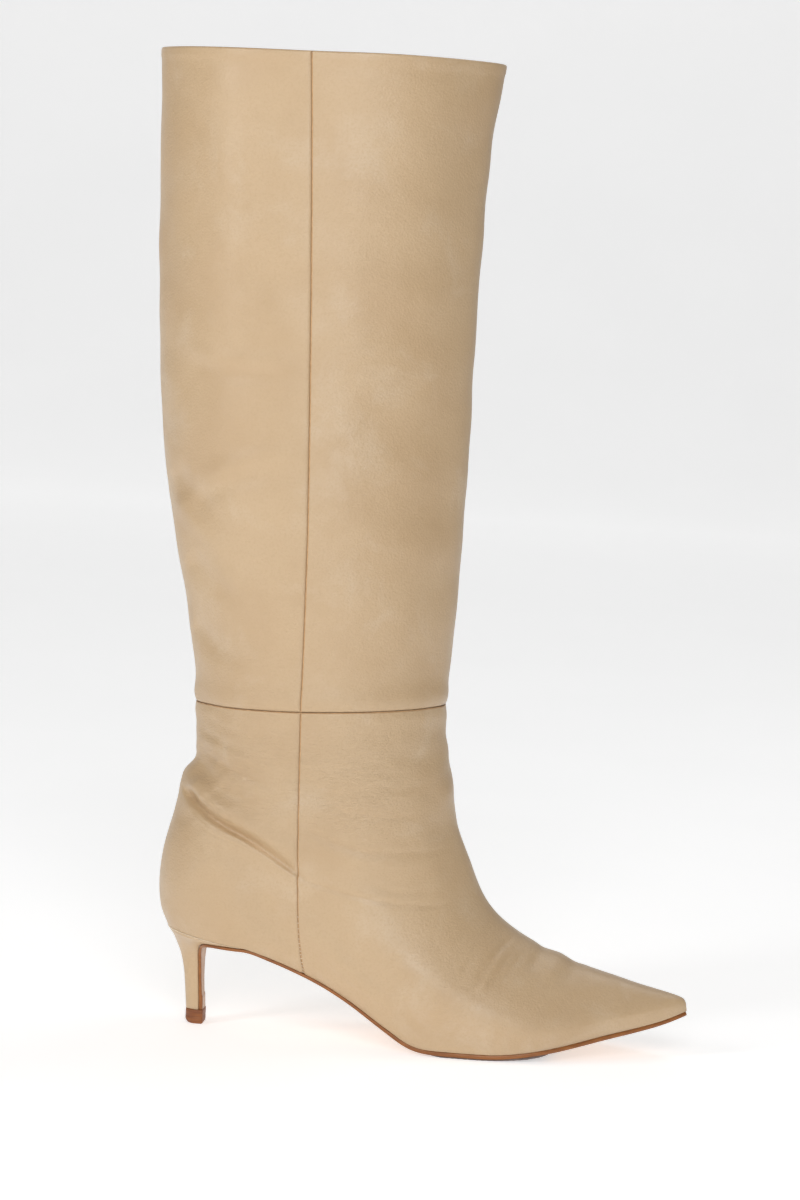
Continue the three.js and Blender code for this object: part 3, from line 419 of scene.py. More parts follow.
def shell_faces(rows, cols, closed=False):
    """Faces of a closed shell between two grids of equal size, the second after the first."""
    n = rows * cols
    faces = grid_faces(rows, cols, closed) + grid_faces(rows, cols, closed, n, True)
    rim = cols if closed else cols - 1
    for i in range(rim):
        j = (i + 1) % cols
        faces.append((j, i, n + i, n + j))
        k = n - cols
        faces.append((k + i, k + j, n + k + j, n + k + i))
    if not closed:
        for j in range(rows - 1):
            p, q = j * cols, (j + 1) * cols
            faces.append((p, q, n + q, n + p))
            p, q = p + cols - 1, q + cols - 1
            faces.append((q, p, n + p, n + q))
    return faces


def wall(t, ring, outer, inner, closed=False):
    """Closed shell between two depths over a grid (rows up, columns round)."""
    a = layer_points(t, ring, outer).reshape(-1, 3)
    b = layer_points(t, ring, inner).reshape(-1, 3)
    return np.concatenate([a, b]), shell_faces(*t.shape, closed)


EDGE = np.array([0, 0.08, 0.2, 0.38, 0.62, 0.95, 1.4, 2.0, 2.8, 3.8])


def spacing(length, step):
    """Places along a length, in millimetres: fine at both ends, even between."""
    count = max(2, int(round((length - 7.6) / step)))
    middle = np.linspace(EDGE[-1], length - EDGE[-1], count)
    return np.concatenate([EDGE[:-1], middle, length - EDGE[:-1][::-1]])


def quick(step):
    return step


SIDE = 1.6  # angle of a line up the side, along which heights are measured
TRACK = 400
BACK_REACH, FRONT_REACH = 135, 215  # about how far the panels go round


def panel_grid(part, lower, upper, step, margin=0.1):
    """Angles and rings of a panel, with its distances to the side seams and to both ends."""
    heights = spacing(np.linalg.norm(surface(SIDE, lower) - surface(SIDE, upper)), step)
    length = heights[-1]
    rings = np.linspace(lower, upper, TRACK)
    track = surface(np.full(TRACK, SIDE), rings)
    run = np.concatenate([[0], np.cumsum(np.linalg.norm(np.diff(track, axis=0), axis=1))])
    ring = np.interp(heights / length * run[-1], run, rings)
    seam = seam_angle(ring)
    edge = turn(seam, ring, margin)
    if part == "back":
        first, last = -(seam - edge), seam - edge
    else:
        first, last = seam + edge, 2 * math.pi - seam - edge
    reach = BACK_REACH if part == "back" else FRONT_REACH
    at = spacing(reach, step)
    share = at / reach
    t = first[:, None] + (last - first)[:, None] * share[None]
    rr = np.repeat(ring[:, None], len(at), 1)
    around = np.linalg.norm(tangents(t.ravel(), rr.ravel())[0], axis=1).reshape(t.shape)
    side = np.minimum((t - first[:, None]), (last[:, None] - t)) * around
    low = np.repeat(heights[:, None], len(at), 1)
    high = np.repeat((length - heights)[:, None], len(at), 1)
    return t, rr, side, low, high


def rolled(d, radius):
    """How far a rounded edge drops at a distance d from it."""
    e = np.clip(radius - d, 0, radius)
    return radius - np.sqrt(radius ** 2 - e ** 2)


def seam_drop(d, s, radius, sink, ripple=0.05):
    """How deep a stitched edge lies at a distance d from the seam and a place s along it."""
    pucker = np.sin(s * 1.7 + 1.3 * np.sin(s * 0.23))
    return rolled(d, radius) + sink * bell(d, 1.8) + ripple * bell(d, 2.0) * pucker


# ---- materials
class Nodes:
    """Small helper round one material's node tree."""

    def __init__(self, name, rough, metal=0.0, ior=1.5):
        self.mat = bpy.data.materials.new(name)
        self.mat.use_nodes = True
        self.tree = self.mat.node_tree
        self.bsdf = self.tree.nodes["Principled BSDF"]
        self.bsdf.inputs["Roughness"].default_value = rough
        self.bsdf.inputs["Metallic"].default_value = metal
        self.bsdf.inputs["IOR"].default_value = ior
        self.place = self.add("ShaderNodeTexCoord").outputs["Object"]

    def add(self, kind):
        return self.tree.nodes.new(kind)

    def link(self, a, b):
        self.tree.links.new(a, b)

    def scaled(self, scale):
        node = self.add("ShaderNodeMapping")
        node.inputs["Scale"].default_value = scale
        self.link(self.place, node.inputs["Vector"])
        return node.outputs["Vector"]

    def noise(self, scale, detail=2.0, stretch=None, rough=0.5, distort=0.0):
        node = self.add("ShaderNodeTexNoise")
        node.inputs["Scale"].default_value = scale
        node.inputs["Detail"].default_value = detail
        node.inputs["Roughness"].default_value = rough
        node.inputs["Distortion"].default_value = distort
        self.link(self.scaled(stretch) if stretch else self.place, node.inputs["Vector"])
        return node.outputs["Fac"]

    def cells(self, scale, feature="F1", stretch=None):
        node = self.add("ShaderNodeTexVoronoi")
        node.feature = feature
        node.inputs["Scale"].default_value = scale
        self.link(self.scaled(stretch) if stretch else self.place, node.inputs["Vector"])
        return node.outputs["Distance"]

    def ramp(self, value, low, high, a=0.0, b=1.0):
        node = self.add("ShaderNodeMapRange")
        node.interpolation_type = "SMOOTHSTEP"
        for key, v in zip(("From Min", "From Max", "To Min", "To Max"), (low, high, a, b)):
            node.inputs[key].default_value = v
        self.link(value, node.inputs["Value"])
        return node.outputs["Result"]

    def math(self, how, a, b):
        node = self.add("ShaderNodeMath")
        node.operation = how
        for socket, v in zip(node.inputs, (a, b)):
            if isinstance(v, (int, float)):
                socket.default_value = v
            else:
                self.link(v, socket)
        return node.outputs["Value"]

    def tint(self, fac, a, b):
        """Mixes two colours; a may be a socket."""
        node = self.add("ShaderNodeMix")
        node.data_type = "RGBA"
        for key, v in ((6, a), (7, b)):
            if isinstance(v, tuple):
                node.inputs[key].default_value = (*v, 1)
            else:
                self.link(v, node.inputs[key])
        if isinstance(fac, (int, float)):
            node.inputs[0].default_value = fac
        else:
            self.link(fac, node.inputs[0])
        return node.outputs[2]

    def attribute(self, name):
        node = self.add("ShaderNodeAttribute")
        node.attribute_name = name
        return node.outputs["Fac"]

    def bump(self, height, distance, strength=1.0):
        node = self.add("ShaderNodeBump")
        node.inputs["Strength"].default_value = strength
        node.inputs["Distance"].default_value = distance
        self.link(height, node.inputs["Height"])
        if hasattr(self, "last_bump"):
            self.link(self.last_bump, node.inputs["Normal"])
        self.last_bump = node.outputs["Normal"]
        self.link(self.last_bump, self.bsdf.inputs["Normal"])

    def colour(self, socket):
        self.link(socket, self.bsdf.inputs["Base Color"])

    def roughness(self, socket):
        self.link(socket, self.bsdf.inputs["Roughness"])


def srgb(r, g, b):
    return tuple((c / 255 / 12.92) if c <= 10 else ((c / 255 + 0.055) / 1.055) ** 2.4
                 for c in (r, g, b))


def leather(name, base, dark, light, rough=0.42, grain=1.0, seams=True):
    """Smooth grained leather; with seams, it reads the marks that leather_panel makes: painted
    shade and grime beside the seams, painted shade in the creases, and the crinkles.
    """
    m = Nodes(name, rough)
    m.bsdf.inputs["Specular IOR Level"].default_value = 0.75
    m.bsdf.inputs["Coat Weight"].default_value = 0.34
    m.bsdf.inputs["Coat Roughness"].default_value = 0.34
    c = m.tint(m.ramp(m.noise(20, 3, rough=0.6), 0.4, 0.7, 0, 0.7), base, dark)
    c = m.tint(m.ramp(m.noise(34, 4, rough=0.6, distort=0.4), 0.5, 0.75, 0, 0.45), c, light)
    c = m.tint(m.ramp(m.noise(900, 3), 0.42, 0.75, 0, 0.5), c, dark)
    c = m.tint(m.ramp(m.cells(170), 0.0, 0.06, 0.35, 0), c, dark)
    if seams:
        # painted shade and grime: the leather beside the seams is darkened, standing in for the
        # grooves' shade
        c = m.tint(m.ramp(m.attribute("seam"), 0.1, 1.0, 0, 0.45), c, srgb(184, 142, 100))
        # painted shade: the creases are darkened in colour
        c = m.tint(m.ramp(m.attribute("fold"), 0.0, 1.0, 0, 0.3), c, srgb(176, 142, 102))
    m.colour(c)
    m.roughness(m.ramp(m.noise(60, 3), 0.3, 0.75, rough - 0.06, rough + 0.1))
    m.bump(m.noise(130, 3, rough=0.55), 0.0004 * grain, 0.5)
    if seams:
        fine = m.noise(300, 5, stretch=(0.7, 0.7, 2.6), rough=0.7, distort=1.0)
        m.bump(m.math("MULTIPLY", fine, m.attribute("crinkle")), 0.0007, 0.75)
    m.bump(m.noise(420, 5, stretch=(1, 1, 1.6), rough=0.65, distort=1.2), 0.00024 * grain, 0.65)
    m.bump(m.cells(1000, "SMOOTH_F1"), 0.00015 * grain, 0.7)
    m.bump(m.noise(2200, 2), 0.00007 * grain, 0.6)
    return m


BEIGE = srgb(199, 170, 132)
BEIGE_DARK = srgb(191, 160, 121)
BEIGE_LIGHT = srgb(209, 187, 158)
upper_leather = leather("upper_leather_look", BEIGE, BEIGE_DARK, BEIGE_LIGHT).mat
heel_skin = leather("heel_leather_look", BEIGE, BEIGE_DARK, BEIGE_LIGHT, 0.4, 0.7, seams=False)
heel_tone = heel_skin.bsdf.inputs["Base Color"].links[0].from_socket
# painted highlight: the rolled upper rim of the heel cover is tinted lighter
heel_skin.colour(heel_skin.tint(heel_skin.math("MULTIPLY", heel_skin.attribute("rim"), 0.8),
                                heel_tone, srgb(226, 208, 180)))
heel_leather = heel_skin.mat
lining_leather = leather("lining_leather_look", srgb(214, 191, 160), srgb(201, 174, 139),
                         srgb(224, 205, 178), 0.7, 1.2, seams=False).mat


def cloth(name, a, b, rough, thread=1400):
    m = Nodes(name, rough)
    m.bsdf.inputs["Sheen Weight"].default_value = 0.15
    waves = []
    for axis in "XZ":
        w = m.add("ShaderNodeTexWave")
        w.bands_direction = axis
        w.inputs["Scale"].default_value = thread / 3
        w.inputs["Distortion"].default_value = 0.6
        m.link(m.place, w.inputs["Vector"])
        waves.append(w.outputs["Fac"])
    weave = m.math("MULTIPLY", *waves)
    m.colour(m.tint(m.ramp(m.noise(500, 3), 0.3, 0.7), a, b))
    m.bump(weave, 0.00012, 0.6)
    m.bump(m.noise(900, 2), 0.00005, 0.5)
    return m.mat


def plain(name, a, b, rough, scale=120, metal=0.0, bump=0.00008, stretch=None):
    """A solid stuff: two tones, fine bump and uneven gloss."""
    m = Nodes(name, rough, metal)
    m.colour(m.tint(m.ramp(m.noise(scale, 4, stretch, 0.6), 0.35, 0.7), a, b))
    m.roughness(m.ramp(m.noise(scale * 2, 3), 0.3, 0.7, rough - 0.07, rough + 0.1))
    m.bump(m.noise(scale * 8, 4, stretch), bump, 0.6)
    return m


thread_look = cloth("thread_look", srgb(216, 172, 124), srgb(196, 152, 106), 0.7, 4000)
stitch_look = cloth("stitch_look", srgb(238, 220, 192), srgb(226, 204, 174), 0.65, 4000)
tape_look = cloth("tape_look", srgb(226, 221, 210), srgb(210, 203, 190), 0.9)
board_look = plain("board_look", srgb(170, 146, 112), srgb(150, 124, 92), 0.85, 300).mat
foam_look = plain("foam_look", srgb(232, 226, 212), srgb(218, 210, 192), 0.95, 500, bump=0.0002).mat
block_look = plain("block_look", srgb(214, 208, 196), srgb(200, 193, 180), 0.5, 80).mat
steel_look = plain("steel_look", (0.5, 0.51, 0.52), (0.38, 0.39, 0.4), 0.35, 90, 1.0,
                   stretch=(1, 1, 8)).mat
tip_look = plain("tip_look", srgb(144, 86, 42), srgb(122, 68, 33), 0.5, 220, bump=0.00012,
                 stretch=(0.4, 0.4, 3)).mat
tread_look = plain("tread_look", srgb(122, 110, 106), srgb(100, 88, 84), 0.75, 160).mat

sole = plain("sole_look", srgb(154, 97, 48), srgb(133, 80, 38), 0.36, 160, bump=0.0001,
             stretch=(0.5, 1, 3))
sole.bsdf.inputs["Specular IOR Level"].default_value = 0.45
worn = sole.ramp(sole.noise(40, 5, rough=0.7), 0.5, 0.75, 0, 0.6)
sole_tone = sole.bsdf.inputs["Base Color"].links[0].from_socket
under = sole.math("MULTIPLY", sole.attribute("under"), 0.75)
sole.colour(sole.tint(sole.math("MULTIPLY", worn, under),
                      sole.tint(under, sole_tone, srgb(206, 172, 138)), srgb(160, 140, 122)))
sole_look = sole.mat


def mark(ob, name, values):
    a = ob.data.attributes.new(name, "FLOAT", "POINT")
    a.data.foreach_set("value", np.asarray(values, np.float32))


# ---- leather panels
TOP_FOLD = 1.0  # radius of the folded top edge


def leather_panel(name, part, lower, upper, node, body):
    """An outer panel: its stitched or folded edges, folds, and marks for the material (painted
    shade and grime beside the seams, painted shade in the creases).
    """
    step = quick(1.5 if lower > 1 else 1.05)
    t, ring, side, low, high = panel_grid(part, lower, upper, step)
    soft = part == "back"  # the back panel rolls softly into the seam, the front one is crisp
    outer = seam_drop(side, low, *((1.0, 0.34) if soft else (0.42, 0.12)))
    outer -= 0.16 * bell(side - 2.0, 0.9) * soft
    inner = np.full(t.shape, LEATHER)
    # painted shade and grime beside the seams, for the material
    seam_shade_and_grime = bell(side, 0.55 if soft else 0.22)
    if lower > 1:  # a leg panel: seam below, folded edge on top
        outer = np.maximum(outer, seam_drop(low, side, 1.1, 0.36, 0.03))
        seam_shade_and_grime = np.maximum(seam_shade_and_grime, 0.6 * bell(low, 0.5))
        over = rolled(high, TOP_FOLD)
        outer = np.maximum(np.minimum(outer, LEATHER - 0.05), over)
        inner = mix(LEATHER, 2.1, smooth((5 - high) / 2)) - over + 0.05
    else:
        outer = np.minimum(np.maximum(outer, seam_drop(high, side, 0.45, 0.08, 0.03)),
                           LEATHER - 0.05)
        seam_shade_and_grime = np.maximum(seam_shade_and_grime, bell(high, 0.22))
    v, f = wall(t, ring, outer, inner)
    ob = finish_mesh(name, v, f, upper_leather, [node], body)
    flat = surface(t.ravel(), ring.ravel())
    # painted shade for the creases, read by the material
    crease_shade = displacement(flat, t.ravel(), ring.ravel())[1]
    x, z = flat[:, 0], flat[:, 2]
    crinkle = 0.12 + bell(z - 122, 34) * smooth((150 - x) / 60)  # round the ankle
    crinkle += 0.4 * bell(z - 50, 26) * bell(x - 150, 30)  # over the toe break
    mark(ob, "seam", np.concatenate([seam_shade_and_grime.ravel()] * 2))
    mark(ob, "fold", np.concatenate([crease_shade] * 2))
    mark(ob, "crinkle", np.concatenate([np.clip(crinkle, 0, 1)] * 2))
    return ob


up = climb(SEAM, 0.1)
leather_panel("leg_front_leather", "front", SEAM + up, TOP, "shaft_front_panel", "shaft")
leather_panel("leg_back_leather", "back", SEAM + up, TOP, "shaft_back_panel", "shaft")
leather_panel("vamp_leather", "front", 0, SEAM - up, "vamp_panel", "both")
leather_panel("heel_quarter_leather", "back", 0, SEAM - up, "heel_quarter_panel", "both")


LINE = LEATHER + GAP + TAPE + GAP
COUNTER, PUFF = 1.6, 1.0
COUNTER_TOP, PUFF_TOP, PUFF_REACH = 3.8, 2.4, 0.75


def counter_share(t, ring):
    """Where the heel counter lies, from 0 to 1."""
    round_back = np.abs((t + math.pi) % (2 * math.pi) - math.pi)
    sideways = smooth((seam_angle(ring) + turn(seam_angle(ring), ring, 3) - round_back) / 0.3)
    return np.minimum(sideways, smooth((COUNTER_TOP - ring) / 1.2))


def puff_share(t, ring):
    return np.minimum(smooth((PUFF_REACH - np.abs(t - math.pi)) / 0.3),
                      smooth((PUFF_TOP - ring) / 0.8))


def line_depth(t, ring):
    """Depth of the lining's outer side, which makes room for the stiffeners."""
    return (LINE + (COUNTER - TAPE) * counter_share(t, ring)
            + (PUFF - TAPE) * puff_share(t, ring))


def layer(name, part, lower, upper, node, body):
    """A lining panel on the same folded surface."""
    t, ring, *_ = panel_grid(part, lower, upper, quick(3.0), GAP)
    depth = line_depth(t, ring)
    v, f = wall(t, ring, depth, depth + LINING)
    return finish_mesh(name, v, f, lining_leather, [node], body)


FACING, TOPLINE, ANKLE_TAPE = 30, 10, 6  # how deep the facing and the tapes reach
THREAD, TAPE_HALF = 0.2, 7  # half-widths
facing_low = TOP - climb(TOP, FACING)
for part in ("front", "back"):
    layer(f"leg_{part}_lining", part, SEAM + up, facing_low - climb(TOP, 0.4),
          f"shaft_{part}_lining", "shaft")
layer("vamp_inner_lining", "front", 0, SEAM - up, "vamp_lining", "both")
layer("heel_grip", "back", 0, SEAM - up, "heel_grip_lining", "both")


def ring_band(name, lower, upper, outer, inner, material, node, body, cols=200, rows=10,
              rounded=0.0):
    """A band that goes right round the leg."""
    t = np.linspace(0, 2 * math.pi, cols, endpoint=False)
    ring = np.linspace(lower, upper, rows)
    tt, rr = np.meshgrid(t, ring)
    a, b = np.full(tt.shape, float(outer)), np.full(tt.shape, float(inner))
    a[-1] += rounded
    b[-1] -= rounded
    v, f = wall(tt, rr, a, b, closed=True)
    return finish_mesh(name, v, f, material, [node], body)


ring_band("leg_top_facing", facing_low, TOP - climb(TOP, 0.9), LINE, LINE + LINING, upper_leather,
          "top_facing", "shaft", 260, 24, 0.3)
ring_band("leg_topline_tape", TOP - climb(TOP, TOPLINE), TOP - climb(TOP, 5.5), LEATHER + GAP,
          LEATHER + GAP + TAPE, tape_look, "topline_tape", "shaft")
ring_band("ankle_tape", SEAM + up, SEAM + climb(SEAM, ANKLE_TAPE), LEATHER + GAP,
          LEATHER + GAP + TAPE, tape_look, "ankle_seam_tape", "shaft")
ring_band("ankle_seam_thread_row", SEAM - climb(SEAM, 0.18), SEAM + climb(SEAM, 0.18), 0.36, 0.46,
          thread_look, "ankle_seam_thread", "shaft", 300, 3)


def strip(name, side, lower, upper, half, outer, inner, material, node, body):
    """A narrow band along a side seam, from half behind it to half in front."""
    n = int(np.linalg.norm(surface(SIDE, lower) - surface(SIDE, upper)) / quick(1.5))
    ring = np.linspace(lower, upper, n)
    seam = seam_angle(ring)
    edge = turn(seam, ring, half)
    t = np.stack([seam - edge, seam - edge * 0.3, seam + edge * 0.3, seam + edge], 1)
    if side > 0:
        t = (2 * math.pi - t)[:, ::-1]
    rr = np.repeat(ring[:, None], 4, 1)
    v, f = wall(t, rr, np.full(t.shape, outer), np.full(t.shape, inner))
    plain_faces = len(f)
    if "thread" in name and lower == 0:
        v, f = add_stitches(v, f, side)
    ob = finish_mesh(name, v, f, material, [node], body)
    ob.data.materials.append(stitch_look)
    for face in ob.data.polygons[plain_faces:]:
        face.material_index = 1
    return ob


STITCHES, STITCH_RADIUS, STITCH_HALF = 14, 0.22, 0.62


def add_stitches(v, f, side):
    """Small stitches that cross the groove low on the side seam."""
    f = list(f)
    for ring in np.linspace(0.15, 3.1, STITCHES):
        ring = np.array([ring])
        seam = seam_angle(ring)
        edge = turn(seam, ring, STITCH_HALF)
        tilt = climb(2, 0.35)
        t = np.concatenate([seam - edge, seam + edge])
        if side > 0:
            t = 2 * math.pi - t
        p = layer_points(t, np.array([ring[0] - tilt, ring[0] + tilt]), 0.02)
        axis = p[1] - p[0]
        axis /= np.linalg.norm(axis)
        out = np.array([0, side * 1.0, 0])
        other = np.cross(axis, out)
        rings = []
        for s in np.linspace(0, 1, 7):
            r = STITCH_RADIUS * math.sqrt(max(0.02, 1 - (2 * s - 1) ** 2))
            c = p[0] + (p[1] - p[0]) * s
            rings.append([c + r * (math.cos(a) * out + math.sin(a) * other)
                          for a in np.linspace(0, 2 * math.pi, 8, endpoint=False)])
        start = len(v)
        v = np.concatenate([v, np.array(rings).reshape(-1, 3)])
        f += grid_faces(7, 8, True, start)
        f.append(tuple(range(start + 7, start - 1, -1)))
        f.append(tuple(range(start + 48, start + 56)))
    return v, f


for side, word in ((-1, "outer"), (1, "inner")):
    top_of_foot, low_of_leg = SEAM - up, SEAM + up
    strip(f"foot_{word}_thread_row", side, 0, top_of_foot, THREAD, 0.34, 0.46, thread_look,
          f"foot_{word}_seam_thread", "both")
    strip(f"leg_{word}_thread_row", side, low_of_leg, TOP - climb(TOP, 0.9), THREAD, 0.34, 0.46,
          thread_look, f"shaft_{word}_seam_thread", "shaft")
    strip(f"foot_{word}_tape", side, 0, SEAM - climb(SEAM, 6.3), TAPE_HALF, LEATHER + GAP,
          LEATHER + GAP + TAPE, tape_look, f"foot_{word}_seam_tape", "both")
    strip(f"leg_{word}_tape", side, SEAM + climb(SEAM, 6.3), TOP - climb(TOP, 10.4), TAPE_HALF,
          LEATHER + GAP, LEATHER + GAP + TAPE, tape_look, f"shaft_{word}_seam_tape",
          "shaft")


def angles_between(name, first, last, lower, upper, rows, cols, outer, inner, material, node,
                   body):
    """A layer between two angles (functions of the ring) and two depths (of angle and ring)."""
    ring = np.linspace(lower, upper, rows)
    a, b = first(ring), last(ring)
    t = a[:, None] + (b - a)[:, None] * np.linspace(0, 1, cols)[None]
    rr = np.repeat(ring[:, None], cols, 1)
    v, f = wall(t, rr, outer(t, rr), inner(t, rr))
    return finish_mesh(name, v, f, material, [node], body)


def stiff_inner(t, rr):
    return line_depth(t, rr) - GAP


def under_leather(t, _):
    return np.full(t.shape, LEATHER + GAP)


angles_between("heel_stiffener", lambda r: -(seam_angle(r) - turn(seam_angle(r), r, 9)),
               lambda r: seam_angle(r) - turn(seam_angle(r), r, 9), 0, COUNTER_TOP, 36, 60,
               under_leather, stiff_inner, board_look, "heel_counter", "both")
angles_between("toe_stiffener", lambda r: np.full(r.shape, math.pi - PUFF_REACH),
               lambda r: np.full(r.shape, math.pi + PUFF_REACH), 0, PUFF_TOP, 24, 40,
               under_leather, stiff_inner, board_look, "toe_puff", "both")

# ---- sole, sock and heel
LEDGE = 0.5
PLATE_INSET = LINE + COUNTER - TAPE + LINING + GAP


def sole_edge(x, inset):
    """Lateral and medial y of the foot's outline at x, moved in by inset."""
    start, end = BACK + inset, FOOT - inset * (3 if inset > 0 else 1)
    along = np.clip((x - start) / (end - start), 0, 1)
    s = 2 * math.sqrt(along * (1 - along))
    step = inset * min(1, 2.2 * s)
    a, b = (max(0.04, float(half_width(along, 0.0, np.array(m))) * s - step) for m in (False, True))
    return float(skew(x)) - a, float(skew(x)) + b


def seat_half(x, medial):
    along = np.clip((x - BACK) / (FOOT - BACK), 0, 1)
    return float(half_width(along, 0.0, np.array(medial))) * 2 * math.sqrt(along * (1 - along))


def loft(name, loops, material, nodes):
    """Closed mesh through loops of equal length, capped at both ends."""
    loops = np.array(loops, float)
    n, k = loops.shape[:2]
    faces = [tuple(reversed(q)) for q in grid_faces(n, k, True)]
    faces += [tuple(range(k)), tuple(range(n * k - 1, (n - 1) * k - 1, -1))]
    return finish_mesh(name, loops, faces, material, nodes)


ACROSS, TURN = 15, 5


def slab(top, low, lateral, medial):
    """Cross-section of a sheet with rounded edges: upper side, edge, underside, edge."""
    top, low = np.array(top, float), np.array(low, float)
    mid, half = (top + low) / 2, (top - low) / 2
    r = min(np.linalg.norm(half), (medial - lateral) / 2.2)
    loop = []

    def add(y, level):
        c = mid + half * level
        loop.append((c[0], y, c[1]))

    ends = lateral + r, medial - r
    for s in np.linspace(0, 1, ACROSS):
        add(mix(*ends, s), 1)
    turns = np.linspace(math.pi / 2, -math.pi / 2, TURN + 2)[1:-1]
    for a in turns:
        add(ends[1] + r * math.cos(a) ** 0.4, np.sign(a) * abs(math.sin(a)) ** 0.4)
    for s in np.linspace(1, 0, ACROSS):
        add(mix(*ends, s), -1)
    for a in turns[::-1]:
        add(ends[0] - r * math.cos(a) ** 0.4, np.sign(a) * abs(math.sin(a)) ** 0.4)
    return loop


seat_z = float(feather(44)) - GAP


def heel_z(share):
    return mix(6.7, seat_z, share)


# levels of the heel: breast x and z, back x and z, half-width
HEEL = np.array([
    (22, heel_z(0), 15.3, heel_z(0), 4.7),
    (21.6, heel_z(0.24), 14.5, heel_z(0.25), 4.5),
    (21.1, heel_z(0.5), 13.5, heel_z(0.52), 5.0),
    (21, heel_z(0.73), 11.7, heel_z(0.747), 7.0),
    (21.6, heel_z(0.876), 9.3, heel_z(0.92), 11),
    (23.2, heel_z(0.955), 7.8, heel_z(1.022), 15.5),
    (26.2, heel_z(0.99), 6.5, heel_z(1.08), 19),
    (32, heel_z(1), 5.6, heel_z(1.117), 22.5),
    (44, seat_z, BACK, SEAT - GAP, 0),
])


def heel_rows(depth, steps=26):
    """Points of each level, round from the breast's inner side by the back to its outer side."""
    rows = []
    for i, (bx, bz, kx, kz, wide) in enumerate(HEEL):
        row = []
        for a in np.linspace(-math.pi / 2, math.pi / 2, 2 * steps + 1):
            share = 1 - math.cos(a)
            x = mix(kx + depth, bx, share)
            if i == len(HEEL) - 1:
                y = seat_half(mix(kx, bx, share), a < 0) - depth * min(1, 2 * abs(math.sin(a)))
                row.append((x, -max(0, y) * np.sign(a), float(feather(x)) - GAP))
            else:
                row.append((x, -(wide - depth) * math.sin(a), mix(kz, bz, share)))
        rows.append(row)
    return np.array(rows)


def heel_cover_piece():
    """The leather round the heel block, with a bead along its upper rim, which is painted lighter
    as a highlight.
    """
    outer, inner = (curve(range(9), heel_rows(d)) for d in (0.0, 0.9))
    levels = np.concatenate([[0, 0.03, 0.08], np.linspace(0.2, 7, 46), np.linspace(7.1, 8, 16)])
    a, b = [], []
    for s in levels:
        p, q = outer(s), inner(s)
        out = p - q
        out /= np.maximum(np.linalg.norm(out, axis=1), 1e-6)[:, None]
        run = np.linalg.norm(outer(8.0) - p, axis=1)  # to the upper rim
        up_to = np.minimum(run, np.linalg.norm(outer(0.0) - p, axis=1) + 0.1)
        bead = 0.32 * bell(run - 0.75, 0.5)
        edge = rolled(up_to, 0.2) - bead
        side = np.abs(np.linspace(-1, 1, len(p)))
        edge += 0.5 * smooth((side - 0.955) / 0.045)
        p = p - out * np.minimum(edge, 0.8)[:, None]
        lift = 0.24 * smooth((2 - run) / 2)
        a.append(p + lift[:, None] * [0, 0, 1])
        b.append(q + lift[:, None] * [0, 0, 1])
    a, b = np.array(a), np.array(b)
    faces = [face[::-1] for face in shell_faces(*a.shape[:2])]
    ob = finish_mesh("heel_cover_leather", np.concatenate([a.reshape(-1, 3), b.reshape(-1, 3)]),
                     faces, heel_leather, ["heel_cover"])
    rim = np.array([np.linalg.norm(outer(8.0) - outer(s), axis=1) for s in levels]).ravel()
    # mark for the painted highlight along the upper rim
    mark(ob, "rim", np.concatenate([smooth((1.5 - rim) / 0.6)] * 2))
    return ob


heel_cover_piece()

# the outsole: up the breast of the heel, forward under the seat and on to the toe
knots = [(bx, bz, -w, w) for bx, bz, _, _, w in HEEL[:8]]
knots.append((44, seat_z, -seat_half(44, False), seat_half(44, True)))
knots.append((49, float(feather(49)), *sole_edge(49, -0.1)))
knots.append((56, float(feather(56)), *sole_edge(56, -0.4)))
knots = np.array(knots)
length = np.concatenate([[0], np.cumsum(np.hypot(*np.diff(knots[:, :2], axis=0).T))])
flap = curve(length, knots)
run = [tuple(flap(s)) for s in np.arange(0, length[-1] - 1, quick(0.9))]
toe_end = FOOT - 0.6
nose = mix(toe_end - 9, toe_end - 0.02, np.sin(np.linspace(0, math.pi / 2, 16)))
for x in np.concatenate([np.arange(56, toe_end - 9, quick(2.0)), nose]):
    ledge = mix(LEDGE, -0.15, float(smooth((x - 215) / 30)))
    run.append((x, float(feather(min(x, FOOT))), *sole_edge(x, -ledge)))
run = np.array(run)
for _ in range(4):
    run[1:-20, :2] = (run[:-21, :2] + 2 * run[1:-20, :2] + run[2:-19, :2]) / 4
head_on = np.gradient(run[:, :2], axis=0)
head_on /= np.linalg.norm(head_on, axis=1)[:, None]
away = np.stack([head_on[:, 1], -head_on[:, 0]], 1)
thick = 1.35 + 0.6 * smooth((run[:, 0] - 95) / 40)
thick = np.where(np.arange(len(run)) < 8, 1.75, thick)
sole_top = run[:, :2] + away * 0.08
sole_low = sole_top + away * thick[:, None]
loops = [slab(p, q, a, b) for p, q, (_, _, a, b) in zip(sole_top, sole_low, run)]
outsole = loft("outsole_leather", loops, sole_look, ["outsole"])
under_side = np.zeros((len(loops), len(loops[0])))
under_side[:, ACROSS + TURN + 1:2 * ACROSS + TURN - 1] = 1
mark(outsole, "under", under_side.ravel())

